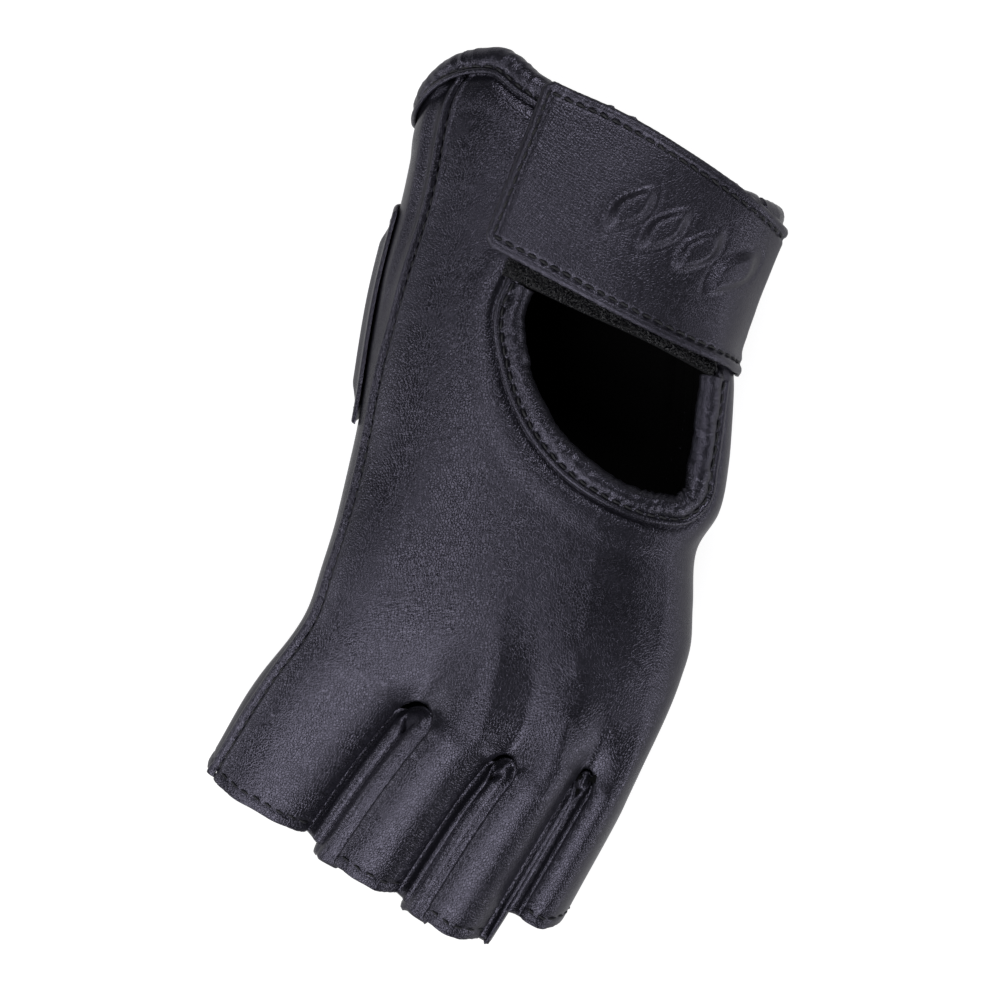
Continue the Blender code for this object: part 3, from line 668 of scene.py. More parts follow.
def round_opening(count):
    edge = bound_edge(count)
    places, into, out = edge_frame(angle_at(edge[:, 0], edge[:, 1]), edge[:, 1])
    outward = np.sign(np.sum((places - places.mean(axis=0)) * into))
    return places, into * outward, out


def round_cuff(count):
    angle = np.linspace(SLIT_ANGLE - 360 + CUFF_END, SLIT_ANGLE - CUFF_END, count)
    places, into, out = edge_frame(angle, cuff_edge((angle + 180) % 360 - 180))
    return places, into * np.sign(into[:, 1:2]), out


def slot_edge(angles, forks, slot):
    """The U-shaped edge of a panel round the slot between two fingers, from one hem to the other."""
    sides = []
    for finger, u in ((slot, 1.0), (slot + 1, 0.0)):
        tip = hem_y(angles, finger, u)
        fork = forks[slot]
        curved = fork + SLOT_ROUND * np.linspace(0, 1, 30) ** 2
        y = np.concatenate([curved, np.linspace(fork + SLOT_ROUND, tip, 80)[1:]])
        sides.append(panel_point(angles, forks, finger, np.full(y.shape, u), y))
    return np.concatenate([sides[0][::-1], sides[1][1:]])


def hem_edge(angles, forks, finger, back_from_end=0.0):
    """A line round the end of a finger, over one panel."""
    u = np.linspace(0, 1, 60)
    y = hem_y(angles, finger, u) - back_from_end
    return panel_point(angles, forks, finger, u, y)


def seam_edge(angles, forks, u, finger):
    """The outer edge of a panel from its cuff to a finger's end."""
    y = np.linspace(-80, FINGER_END[finger] - 1, 320)
    return panel_point(angles, forks, finger, np.full(y.shape, u), y)


def inside(flat, outline_points):
    """Which plan points lie inside a closed outline."""
    x, y = flat[:, 0], flat[:, 1]
    found = np.zeros(len(flat), bool)
    for (x0, y0), (x1, y1) in zip(outline_points, np.roll(outline_points, -1, axis=0)):
        if y0 != y1:
            crosses = ((y0 > y) != (y1 > y)) & (x < (x1 - x0) * (y - y0) / (y1 - y0) + x0)
            found ^= crosses
    return found


# ---- Panels ----

HEM_STITCHES = 2.7  # from the end of a finger to its row of stitches
GROOVE_HALF = 0.95  # half the width of the groove that the stitches pull in
HEM_SEWN_IN = 0.3


def panel_rows(angles, forks, finger, u):
    """The y of every row of a fine panel, from the cuff to the finger's end."""
    knots = [36.0, *(angles_at_cuff(angles, line) for line in finger_lines[1:4]), angles[LITTLE][1]]
    round_wrist = (knots[finger] + u * (knots[finger + 1] - knots[finger]) + 180) % 360 - 180
    cuff = cuff_edge(round_wrist)
    fork = np.interp(finger + u, [0, 1, 2, 3, 4], [forks[0], *forks, forks[2]])
    tip = hem_y(angles, finger, u)
    rows = [cuff + (WRIST_ROW - cuff) * share for share in np.linspace(0, 1, 61)[:-1]]
    rows += [WRIST_ROW + (fork - WRIST_ROW) * share for share in np.linspace(0, 1, 150)]
    rows += [fork + SLOT_ROUND * share**1.6 for share in np.linspace(0, 1, 14)[1:]]
    shares = 1 - (1 - np.linspace(0, 1, 64)[1:]) ** 1.25
    rows += [fork + SLOT_ROUND + (tip - fork - SLOT_ROUND) * share for share in shares]
    return np.array(rows)


def crowded(cells):
    """0 to 1 with cells steps, closer together at both ends."""
    u = np.linspace(0, 1, cells + 1)
    return u - 0.11 * np.sin(2 * math.pi * u)


def panel_mesh(angles, forks, cells):
    bm = bmesh.new()
    for finger, count in enumerate(cells):
        u = crowded(count)
        y = panel_rows(angles, forks, finger, u)
        points = panel_point(angles, forks, finger, np.broadcast_to(u, y.shape), y)
        add_grid(bm, points, flip=angles is BACK_ANGLES)
    bmesh.ops.remove_doubles(bm, verts=bm.verts, dist=2e-3)
    soften_valleys(bm, angles, forks)
    return bm


def soften_valleys(bm, angles, forks):
    """Rounds the valleys that run back over the hand from the forks between the fingers."""
    points = points_of(bm)
    keep = np.array([vert.is_boundary for vert in bm.verts])
    near = np.zeros(len(points), bool)
    for slot, fork in enumerate(forks):
        y = np.linspace(8, fork - 0.5, 100)
        distance, _ = nearest(points, panel_point(angles, forks, slot, np.ones(y.shape), y))
        near |= (distance < 8.9) & (points[:, 1] < fork + 2.0)
    soft = [vert for vert, chosen in zip(bm.verts, near & ~keep) if chosen]
    for _ in range(180):
        bmesh.ops.smooth_vert(bm, verts=soft, factor=0.5, use_axis_x=True, use_axis_y=True, use_axis_z=True)


def seams_and_hems(points, angles, forks, seam_roll):
    """The relief along a panel's sewn and turned edges."""
    height = np.zeros(len(points))
    for slot in range(3):
        distance, along = nearest(points, evenly(slot_edge(angles, forks, slot), 0.4))
        puckers = 0.10 * np.sin(along * 2 * math.pi / STITCH["pitch"]) * bump(distance, 1.6, 1.4)
        height += roll(distance, 1.25) + puckers
    for finger in range(4):
        distance, along = nearest(points, evenly(hem_edge(angles, forks, finger), 0.4))
        groove = bump(distance, HEM_STITCHES, GROOVE_HALF)
        height += roll(distance, 0.45) - groove * (0.15 + 0.2 * at_holes(along))
    for u, finger in ((0.0, INDEX), (1.0, LITTLE)):
        distance, _ = nearest(points, evenly(seam_edge(angles, forks, u, finger), 0.5))
        height += seam_roll(distance, points)
    return height


def back_seam(distance, points):
    """The back's edge along the thumb side lies low, with a thin raised lip at the cuff end."""
    lip = smooth(-points[:, 1], 25.0, 55.0)
    return roll(distance, 1.1) + 0.35 * lip * bump(distance, 1.1, 0.9)


def palm_seam(distance, points):
    """Beside the seam the palm leather rolls up into a cord-like ridge, with a valley beyond at the cuff."""
    cuff = smooth(-points[:, 1], -5.0, 50.0)
    ridge = 0.75 * bump(distance, 1.5 - 0.35 * cuff, 1.4 - 0.3 * cuff)
    valley = 1.3 * cuff * bump(distance, 4.6, 3.4)
    return roll(distance, 0.9) + ridge - valley


def creases(points):
    """Soft hollows and fine slanting creases in the back of the hand."""
    x, y = points[:, 0], points[:, 1]
    top = smooth(points[:, 2], 18.0, 34.0)
    broad = 0.25 * rough(points, (16, 26, 30), 1)
    slanted = np.stack([(x * 0.8 + y * 0.6), (y * 0.8 - x * 0.6), 0 * x], axis=1)
    radial = smooth(x, 18.0, 40.0) * smooth(y, -72.0, -50.0) * (1 - smooth(y, 0.0, 30.0))
    fine = 0.05 * rough(slanted, (14.0, 2.6, 9.0), 2) * radial
    return top * (broad + fine)


def fork_dips(points):
    """The panel dips towards the forks between the fingers."""
    height = np.zeros(len(points))
    for slot, fork in enumerate(BACK_FORKS):
        centre = slot_edge(BACK_ANGLES, BACK_FORKS, slot)[109]
        distance = np.linalg.norm(points - centre, axis=1)
        height -= 0.7 * bump(distance, 0.0, 9.0) * (1 - smooth(points[:, 1], fork - 1.0, fork + 3.0))
    return height


def press_of_bindings(points):
    """The bindings press the panel down beside them, and it swells a little beyond."""
    height = np.zeros(len(points))
    for places, _, _ in (round_opening(260), round_cuff(500)):
        distance, along = nearest(points, places, 14.0)
        pucker = 0.5 + 0.5 * np.sin(along * 2 * math.pi / STITCH["pitch"] + np.sin(along * 0.7))
        height -= 0.55 * bump(distance, BINDING_REACH + 0.3, 1.5)
        height += 0.06 * pucker * bump(distance, BINDING_REACH + 2.2, 2.0)
        height += 0.45 * bump(distance, BINDING_REACH + 4.0, 5.0)
    return height


BACK_ABOVE = 25.0  # the opening and the slit are cut only over this height
THUMB_HOLE_BELOW = 24.0  # and the hole for the thumb only under this one


def cut_out(bm, flat, of_height):
    """Deletes the faces inside an outline seen from above, where of_height(z) is true."""
    centres = np.array([face.calc_center_median() for face in bm.faces])
    gone = inside(centres[:, :2], flat) & of_height(centres[:, 2])
    bmesh.ops.delete(bm, geom=[f for f, out in zip(list(bm.faces), gone) if out], context="FACES")


def cut_opening(bm):
    """Takes the half-moon opening and the slit out of the back, and draws the cut's edge smooth."""
    slit = slit_line(np.linspace(OPENING_WRIST, -94.0, 60))
    edge = opening_edge(200)
    corner = np.array([[OPENING_CORNERS[0][0], OPENING_WRIST]])
    flat = np.concatenate([edge, slit - (SLIT_WIDTH / 2, 0), (slit + (SLIT_WIDTH / 2, 0))[::-1], corner])
    cut_out(bm, flat, lambda z: z > BACK_ABOVE)
    loop = evenly(np.concatenate([flat, flat[:1]]), 0.1)
    for vert in bm.verts:
        if vert.is_boundary and vert.co.z > BACK_ABOVE and vert.co.y < 0:
            apart = loop - np.array(vert.co)[:2]
            square = (apart**2).sum(axis=1)
            if square.min() < 1.0:
                vert.co.xy = loop[square.argmin()]


def back_panel():
    bm = panel_mesh(BACK_ANGLES, BACK_FORKS, (56, 46, 42, 92))
    cut_opening(bm)

    def relief(points):
        edges = seams_and_hems(points, BACK_ANGLES, BACK_FORKS, back_seam)
        return edges + creases(points) + fork_dips(points) + press_of_bindings(points)

    displace(bm, relief)
    piece("back_leather", bm, [panel_leather(), suede_with_painted_shade()], GLOVE, ["back_panel"], thickness=LEATHER)


SEAM_ALLOWANCE = np.linspace(-0.07, 0.07, 9)  # either side of the seam, as shares of the outer finger's strip


def on_back(finger):
    """The back panel's surface over one finger's strip."""

    def surface(u, y):
        return panel_point(BACK_ANGLES, BACK_FORKS, finger, u, y)

    return surface


def seam_allowances():
    """The turned-in edges behind both side seams, which keep light from passing between the panels."""
    bm = bmesh.new()
    y = np.linspace(-76.0, 86.0, 120)[:, None] + 0 * SEAM_ALLOWANCE
    for finger, u in ((INDEX, SEAM_ALLOWANCE), (LITTLE, 1 + SEAM_ALLOWANCE)):
        share = u + 0 * y
        back = on_back(finger)
        add_grid(bm, back(share, y) - (LEATHER + LAYER_GAP) * normals(back, share, y, 0.01, 0.4))
    piece("seam_allowances", bm, [suede_with_painted_shade()], GLOVE, thickness=LEATHER * 0.5)


THUMB_HOLE = (27.5, 31.0, 13.2, 12.0)
THUMB_ROOT_Z = 14.4
THUMB_END = (9.5, 53.5, 7.4)
THUMB_HEADING = (-0.5, 0.866, 0.0)
THUMB_HALF = (14.0, 5.9)
THUMB_LEAVES, THUMB_ARRIVES = 20.0, 34.0  # how stiffly its sides leave the hole and run into its open end
THUMB_STITCHES = 0.925  # the share of its length where the hem is sewn


def thumb_oval(count):
    x, y, across, along = THUMB_HOLE
    turn = np.linspace(0, 2 * math.pi, count, endpoint=False)
    return np.stack([x + across * np.cos(turn), y + along * np.sin(turn)], axis=1)


def palm_panel():
    bm = panel_mesh(PALM_ANGLES, PALM_FORKS, (90, 40, 36, 44))
    cut_out(bm, thumb_oval(90), lambda z: z < THUMB_HOLE_BELOW)

    def relief(points):
        edges = seams_and_hems(points, PALM_ANGLES, PALM_FORKS, palm_seam)
        soft = 0.4 * rough(points, (14, 18, 14), 4) * smooth(points[:, 2], FLOOR_FLAT + 0.2, FLOOR_FLAT + 5)
        return edges + soft + 0.6 * press_of_cuff(points)

    displace(bm, relief)
    piece("palm_leather", bm, [panel_leather(), suede_with_painted_shade()], GLOVE, ["palm_panel"], thickness=LEATHER)


def press_of_cuff(points):
    distance, _ = nearest(points, round_cuff(500)[0], 14.0)
    return 0.5 * bump(distance, BINDING_REACH + 4.0, 5.0) - 0.5 * bump(distance, BINDING_REACH + 0.3, 1.5)


def thumb_point(turn, t):
    """The thumb's tube: from the oval hole (t 0) to its open end (t 1), turn in degrees round it."""
    x, y, across, along = THUMB_HOLE
    c, s = np.cos(np.radians(turn)), np.sin(np.radians(turn))
    root = np.stack([x + (across - 1) * c, y + (along - 1) * s, THUMB_ROOT_Z + 0 * c], axis=-1)
    heading = np.array(THUMB_HEADING)
    sideways = np.array([heading[1], -heading[0], 0])
    wide, high = THUMB_HALF
    middle = np.array([x, y, THUMB_ROOT_Z])
    ahead = (root - middle)[..., :2] @ heading[:2] / across
    beside = (root - middle)[..., :2] @ sideways[:2] / across
    around = np.arctan2(ahead, beside)
    end = np.array(THUMB_END) + wide * np.cos(around)[..., None] * sideways
    end = end + high * np.sin(around)[..., None] * np.array([0, 0, 1])
    down = np.array([0.0, 0.0, -1.0]) * (THUMB_LEAVES * (0.62 - 0.5 * ahead))[..., None]
    out = heading * THUMB_ARRIVES
    t = np.asarray(t)[..., None]
    h00, h10 = (1 + 2 * t) * (1 - t) ** 2, t * (1 - t) ** 2
    h01, h11 = t * t * (3 - 2 * t), t * t * (t - 1)
    return h00 * root + h10 * down + h01 * end + h11 * out


def thumb():
    turn = np.linspace(0, 360, 128, endpoint=False)
    shares = 1 - (1 - np.linspace(0, 1, 90)) ** 1.3
    points = thumb_point(turn[None, :], shares[:, None] + 0 * turn[None, :])
    bm = bmesh.new()
    add_grid(bm, points, loop=True)
    bmesh.ops.recalc_face_normals(bm, faces=bm.faces)
    if bm.calc_volume(signed=True) < 0:
        bmesh.ops.reverse_faces(bm, faces=bm.faces)
    hem = thumb_point(turn, np.ones(turn.shape))
    root = thumb_point(turn, np.zeros(turn.shape))

    def relief(at):
        from_hem, along = nearest(at, np.concatenate([hem, hem[:1]]))
        from_root, _ = nearest(at, np.concatenate([root, root[:1]]))
        groove = bump(from_hem, HEM_STITCHES, GROOVE_HALF) * (0.3 + 0.2 * at_holes(along))
        return roll(from_hem, 1.0) - groove + roll(from_root, 1.0) + 0.35 * rough(at, (9, 14, 9), 6)

    displace(bm, relief)
    piece("thumb_leather", bm, [panel_leather(), suede_with_painted_shade()], GLOVE, ["thumb_panel"], thickness=LEATHER)
    row = thumb_point(turn, np.full(turn.shape, THUMB_STITCHES))
    out = unit((row - row.mean(axis=0)) * (1, 1, 4))
    stitch_row("thumb_hem_stitches", row - 0.15 * out, out, ["thumb_hem_thread"])


def fourchette_wall(slot, side, w, y):
    finger = slot if side < 0 else slot + 1
    top = tube_angles(BACK_ANGLES, finger, y)[1 if side < 0 else 0]
    low = tube_angles(PALM_ANGLES, finger, y)[1 if side < 0 else 0]
    low = low + 360 if side < 0 else low
    return on_finger(finger, top + w * (low - top), y)


FOURCHETTE_PROUD = 0.9  # how far its end stands out past the corners of the back panel
TUCK = 0.05  # what is tucked under the back panel, as a share of its depth


def squeeze(w):
    """How far the two walls of a slot bulge towards each other, as a share of their gap."""
    return 0.96 * np.sin(math.pi * np.maximum(w, 0.0) ** 0.47)


def fourchette(slot, name):
    """The strip between two fingers. It is tucked under the back and bulges into a roll beside that seam."""
    w = np.concatenate([np.linspace(-TUCK, 0.30, 26)[:-1], np.linspace(0.30, 0.988, 22)])
    fork = (BACK_FORKS[slot] + 0.9) * (1 - w) + (PALM_FORKS[slot] + 0.9) * w + 5.5 * np.sin(math.pi * w)
    columns = [[], []]
    for side, column in zip((-1, 1), columns):
        finger = slot if side < 0 else slot + 1
        top = tube_angles(BACK_ANGLES, finger, 95.0)[1 if side < 0 else 0]
        waver = 0.3 * np.sin(25 * w + 2 * slot + side)
        tip = end_of(finger, top) + FOURCHETTE_PROUD - HEM_TILT * w**2 + waver
        straight = [tip + (fork + SLOT_ROUND - tip) * share for share in np.linspace(0, 1, 70)]
        curved = [fork + SLOT_ROUND * share**1.7 for share in np.linspace(1, 0, 16)[1:-1]]
        for y in straight + curved:
            u = np.clip((y - fork) / SLOT_ROUND, 0, 1)
            down = np.maximum(w, w * smooth(u, 0.5, 1.0))
            wall = fourchette_wall(slot, side, down, y)
            middle = (fourchette_wall(slot, -1, down, y) + fourchette_wall(slot, 1, down, y)) / 2
            apart = np.sqrt(1 - (1 - u) ** 2) * (1 - u * squeeze(w))
            column.append(middle + apart[:, None] * (wall - middle))
    down = np.maximum(w, 0.0)
    end = (fourchette_wall(slot, -1, down, fork) + fourchette_wall(slot, 1, down, fork)) / 2
    points = np.array([*columns[0], end, *columns[1][::-1]])
    top, low = points[:, 0], points[:, -1]
    bm = bmesh.new()
    add_grid(bm, points)
    # Crumpled towards the fork, more so the nearer the little finger.
    crumple = (0.25, 0.7, 0.7)[slot]

    def relief(at):
        from_top, _ = nearest(at, top)
        from_low, _ = nearest(at, low)
        by_fork = 1 - smooth(at[:, 1], BACK_FORKS[slot] + 6, BACK_FORKS[slot] + 22)
        ridge = 1.1 * bump(from_top, 3.6, 3.2) - 1.4 * (1 - smooth(from_top, 0.6, 2.2))
        folds = crumple * by_fork * rough(at, (2.6, 3.4, 3.0), 8 + slot)
        hem = nearest(at, np.concatenate([points[0], points[-1]]))[0]
        return ridge + folds + 0.04 * rough(at, (2.2, 7.0, 4.0), 9) + roll(hem, 0.8) - roll(from_low, 0.6)

    displace(bm, relief)
    piece(f"{name}_leather", bm, [panel_leather(), suede_with_painted_shade()], GLOVE, [name], thickness=LEATHER * 0.8)


# ---- Bindings ----

# (into the panel, out of it): a rolled lip, a groove for the stitches, a band that folds over the edge, and
# back along the inside.
BINDING = (
    (2.75, 0.12), (3.25, 0.36), (3.42, 0.82), (3.18, 1.24), (2.72, 1.38), (2.28, 1.20), (2.02, 0.84),
    (1.66, 0.66), (1.28, 0.80), (0.90, 1.10), (0.30, 1.36), (-0.40, 1.50), (-1.20, 1.44), (-1.95, 1.18),
    (-2.60, 0.70), (-3.10, 0.05), (-3.42, -0.70), (-3.60, -1.50), (-3.45, -2.20), (-3.00, -2.70),
    (-2.10, -2.98), (-0.60, -3.05), (1.20, -3.05), (2.50, -2.95), (2.85, -2.60), (2.60, -2.15), (1.40, -2.00),
    (0.00, -2.00), (-0.80, -1.85), (-1.15, -1.40), (-1.20, -0.70), (-1.10, -0.05), (-0.60, 0.32),
    (0.50, 0.38), (1.80, 0.34), (2.40, 0.18)
)
BAND = slice(8, 21)  # the section's points between the stitches and the inner edge
STITCHED = slice(6, 9)  # those in the groove
TURN = slice(14, 22)  # and those where it folds over the edge
GROOVE = (1.66, 0.66)
SEWN_IN = 0.05  # how far its stitches are pulled in


def binding(name, route, wrinkle, node):
    """A binding along a route, with its band puckered by wrinkle(distance along)."""
    places, into, out = route
    along = reach(places)
    base = np.array(BINDING)
    sections = np.broadcast_to(base, (len(places), *base.shape)).copy()
    tangent = np.gradient(base, axis=0)
    facing = unit(np.stack([-tangent[:, 1], tangent[:, 0]], axis=1))
    band = np.arange(len(base))[BAND]
    leaning = along[:, None] + base[None, band, 1] * 0.6
    at = np.stack(np.broadcast_arrays(leaning, base[None, band, 0], 0.0), axis=-1)
    shape = at.shape[:2]
    flat = at.reshape(-1, 3)
    crinkle = 0.5 - 2.0 * np.abs(rough(flat, (2.4, 3.6, 1.0), 12)) + 0.4 * rough(flat, (0.9, 1.7, 1.0), 13)
    lumps = rough(flat, (5.0, 3.0, 1.0), 14).reshape(shape)
    patchy = smooth(rough(flat, (7.0, 4.0, 1.0), 16).reshape(shape), -0.35, 0.35)
    amount = -0.3 * wrinkle(along)[:, None] * (0.35 + 0.65 * patchy) * crinkle.reshape(shape) - 0.26 * lumps
    sections[:, band] += amount[..., None] * facing[None, band]
    sections[:, STITCHED, 1] -= 0.25 * at_holes(along)[:, None]
    wavering = 0.45 * rough(np.stack([along, 0 * along, 0 * along], axis=1), (9.0, 1.0, 1.0), 15)
    sections[:, TURN, 0] += wavering[:, None]
    bm = bmesh.new()
    verts = add_grid(bm, sweep_grid(places, into, out, sections), loop=True)
    bm.faces.new(verts[0])
    bm.faces.new(verts[-1][::-1])
    bmesh.ops.recalc_face_normals(bm, faces=bm.faces)
    piece(name, bm, [binding_leather()], GLOVE, [node])
    groove = places + GROOVE[0] * into + (GROOVE[1] - SEWN_IN) * out
    stitch_row(f"{name}_stitches", groove, out, [node.replace("binding", "thread")])


def bindings():
    opening = round_opening(420)
    corner = 0.72 * reach(opening[0])[-1]  # the tight corner on the little-finger side, where it gathers most
    binding("opening_bound_edge", opening, lambda s: 0.8 + 1.3 * bump(s, corner, 18.0), "opening_binding")
    binding("cuff_bound_edge", round_cuff(760), lambda s: 0.9 + 0 * s, "cuff_binding")


# ---- Hem and seam stitches ----


def hem_stitches():
    for finger in range(4):
        line = hem_edge(BACK_ANGLES, BACK_FORKS, finger, HEM_STITCHES)[3:-3]
        y = line[:, 1]
        low, high = finger_bottom[finger](y), finger_top[finger](y)
        middle_x = (finger_lines[finger](y) + finger_lines[finger + 1](y)) / 2
        core = np.stack([middle_x, y, (low + high) / 2 - 3.0], axis=1)
        out = unit(line - core)
        name = FINGERS[finger]
        sewn = line - HEM_SEWN_IN * out
        stitch_row(f"{name}_hem_stitches", sewn, out, [f"{name}_hem_thread"], heft=0.75)


def side_seam_stitches():
    """The stitches in the long seam on the thumb side lie almost out of sight in its groove."""
    y = np.linspace(-70.0, FINGER_END[INDEX] - 4, 300)
    back = on_back(INDEX)
    u = np.full(y.shape, 0.004)
    out = normals(back, u, y, 0.01, 0.4)
    line = back(u, y) - 0.75 * out
    stitch_row("side_seam_stitches", line, out, ["side_seam_thread"], lean=0.0)


# ---- The strap and the tapes ----

STRAP_FREE_END = ((44.4, -42.6), (51.0, -82.4))
STRAP_HINGE_ANGLE = 168.0
ANCHOR_END_ANGLE = 222.0
STRAP_EDGES = (
    through((38, -42.4), (90, -43.0), (168, -45.0)),
    through((38, -82.6), (75, -83.2), (92, -84.7), (110, -84.4), (168, -80.4)),
)
TAPE_END_ANGLE = 139.0
ROOT_SINK = (2.3, 0.3)  # how much nearer the glove the strap's layers lie at its root, at either edge
ANCHOR_SINK = (3.2, 1.7)  # and beyond it, where the leather is sewn down
CORNER_ROUND = 0.03
STACK = {}
level = LAYER_GAP
for layer, thick in (("loop_tape", TAPE), ("hook_tape", TAPE), ("lining", LINING), ("outer", LEATHER)):
    STACK[layer] = level
    level += thick + LAYER_GAP
STITCH_INSET = 2.6
LINING_OVERHANG = 1.0
# A row of plain lozenges stands where a mark may be pressed into the strap, by x and y of their middles.
LOZENGES = tuple((19.5 - 9.2 * k, -66.5 + 0.3 * k) for k in range(4))
LOZENGE_HALF = (4.0, 7.4)


def strap_place(p, q):
    """The angle and y at a share p from the free end to the hinge line and on round the anchor, and a share q
    across from the finger edge to the cuff edge. The free end's corners are rounded."""
    (x0, y0), (x1, y1) = STRAP_FREE_END
    free = angle_at(x0 + q * (x1 - x0), y0 + q * (y1 - y0))
    corner = CORNER_ROUND * np.clip(1 - np.minimum(q, 1 - q) / 0.07, 0, 1) ** 2
    angle = free + (p + (1 - p) * np.where(p < 1, corner, 0)) * (STRAP_HINGE_ANGLE - free)
    near, far = (edge(np.minimum(angle, STRAP_HINGE_ANGLE)) for edge in STRAP_EDGES)
    return angle, near + q * (far - near)


def worn(lift):
    """A surface in the strap at that height over the hand. Past the tapes it sinks towards its root."""

    def surface(angle, y):
        angle, y = np.broadcast_arrays(np.asarray(angle, float), np.asarray(y, float))
        near, far = (edge(np.minimum(angle, STRAP_HINGE_ANGLE)) for edge in STRAP_EDGES)
        across = np.clip((near - y) / (near - far), 0, 1)
        root, anchor = (low + across * (high - low) for low, high in (ROOT_SINK, ANCHOR_SINK))
        sink = root * smooth(angle, TAPE_END_ANGLE, STRAP_HINGE_ANGLE)
        sink = sink + (anchor - root) * smooth(angle, STRAP_HINGE_ANGLE - 2, STRAP_HINGE_ANGLE + 10)
        return on_hand(angle, y) + (lift - sink)[..., None] * normals(on_hand, angle, y)

    return surface


def strap_relief(points):
    """Turned edges, the row of stitches, the raised lozenges and a few creases near the root."""
    x, y = points[:, 0], points[:, 1]
    q = np.linspace(0, 1, 120)
    p = np.linspace(0, 1.28, 240)
    surface = worn(STACK["outer"] + LEATHER)
    rim = [strap_place(p[::-1], 0 * p), strap_place(0 * q, q), strap_place(p, 1 + 0 * p)]
    rim = np.concatenate([surface(*part) for part in rim])
    distance, along = nearest(points, evenly(rim, 0.4))
    height = roll(distance, 0.9) + 0.12 * bump(distance, 1.2, 1.1)
    height -= bump(distance, STITCH_INSET, 1.0) * (0.28 + 0.2 * at_holes(along))
    for cx, cy in LOZENGES:
        lean = (y - cy) * -0.35
        across, along = np.abs((x - cx + lean) / LOZENGE_HALF[0]), np.abs((y - cy) / LOZENGE_HALF[1])
        shape = (across**1.5 + along**1.5) ** (1 / 1.5)
        height += 1.4 * (1 - smooth(shape, 0.5, 1.0)) - 0.18 * bump(shape, 1.12, 0.14)
    near_root = smooth(-x, -2.0, 14.0) * smooth(y, -64.0, -50.0)
    slanted = np.stack([x * 0.9 + y * 0.45, y * 0.9 - x * 0.45, 0 * x], axis=1)
    height += 0.22 * near_root * rough(slanted, (7.0, 2.2, 5.0), 21)
    return height + 0.25 * rough(points, (13.0, 11.0, 20.0), 22)


def hinge_frame():
    """The strap's hinge line at the root, and the direction that the leather runs across it."""
    y = np.array([edge(STRAP_HINGE_ANGLE) for edge in STRAP_EDGES]).mean()
    surface = worn(STACK["outer"])
    here, above = surface(STRAP_HINGE_ANGLE, y), surface(STRAP_HINGE_ANGLE - 4.0, y)
    across = above - here
    return here, across / np.linalg.norm(across)


def strap_sheet(lift, p, q, inset=0.0):
    """A layer of the strap as a mesh that faces out."""
    angle, y = strap_place(*np.broadcast_arrays(p[:, None], q[None, :]))
    near, far = y[:, :1], y[:, -1:]
    y = near - inset + (y - near) * (far - near + 2 * inset) / (far - near)
    bm = bmesh.new()
    add_grid(bm, worn(lift)(angle, y))
    face_towards(bm, np.array([0.0, 0.0, 1.0]) + 0 * points_of(bm))
    return bm


def bend_over_hinge(made):
    """Bakes the piece's place into its mesh. The hinge line is found, but nothing is bent over it."""
    here, across = hinge_frame()
    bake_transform(made)


def strap():
    """The outer leather runs on round its root in one piece, over the hinge line."""
    last = 1 + (ANCHOR_END_ANGLE - STRAP_HINGE_ANGLE) / 110.0
    p = np.concatenate([np.linspace(0, 0.03, 8)[:-1], np.linspace(0.03, last, 190)])
    q = crowded(90)
    bm = strap_sheet(STACK["outer"] + LEATHER, p, q)
    displace(bm, strap_relief)
    nodes = ["strap_outer", "strap_anchor"]
    made = piece("strap_leather", bm, [strap_leather(), suede_with_painted_shade()], None, nodes, thickness=LEATHER)
    bend_over_hinge(made)

    p, q = np.linspace(0.015, 0.95, 90), np.linspace(0, 1, 40)
    bm = strap_sheet(STACK["lining"] + LINING, p, q, inset=LINING_OVERHANG)
    finish = [binding_leather()]
    piece("strap_backing", bm, finish, STRAP, ["strap_lining"], thickness=LINING)
    strap_stitches()


def strap_stitches():
    p = np.linspace(0.025, 0.97, 200)
    q = np.linspace(0.066, 0.934, 60)
    surface = worn(STACK["outer"] + LEATHER - 0.3)
    route = [(p[::-1], 0.066 + 0 * p), (0.025 + 0 * q, q), (p, 0.934 + 0 * p)]
    places = [strap_place(*part) for part in route]
    line = np.concatenate([surface(*place) for place in places])
    out = np.concatenate([normals(on_hand, *place) for place in places])
    stitch_row("strap_stitches", line, out, ["strap_thread"], STRAP)


def tape(name, points_at, count, node, body, fuzz):
    """A woven tape with its pile. points_at(s, t) gives its places and normals, s and t from 0 to 1."""
    s, t = np.linspace(0, 1, count[0]), np.linspace(0, 1, count[1])
    places, out = points_at(*np.broadcast_arrays(s[:, None], t[None, :]))
    bm = bmesh.new()
    add_grid(bm, places)
    face_towards(bm, out.reshape(-1, 3))
    piece(name, bm, [woven_nylon()], body, [node], thickness=TAPE * 0.6)
    pile = bmesh.new()
    fuzz(pile, points_at)
    piece(f"{name}_pile", pile, [nylon_fibre()], body, ())


def loops(bm, points_at):
    """Small tangled loops, leaning every way."""
    random = np.random.default_rng(5)
    crowd = np.concatenate([random.random((5200, 2)), random.random((2600, 2)) * (1, 0.16)])
    crowd[:, 1] = 0.012 + crowd[:, 1] * 0.976
    places, out = points_at(crowd[:, 0], crowd[:, 1])
    turn = np.linspace(-0.2, math.pi + 0.2, 6)
    for place, up in zip(places, out):
        heading = random.random() * 2 * math.pi
        ahead = np.cross(up, (math.cos(heading), math.sin(heading), 0.1))
        ahead /= np.linalg.norm(ahead)
        lean = random.normal(0, 0.35) * np.cross(ahead, up)
        size = random.uniform(0.35, 0.7)
        rise = np.sin(turn)[:, None] * (up + lean) * size * random.uniform(0.8, 1.4)
        line = place + np.cos(turn)[:, None] * ahead * size + rise
        add_tube(bm, tube_rings(line, np.cross(ahead, up) + 0 * line, np.full(len(turn), 0.085), 3))


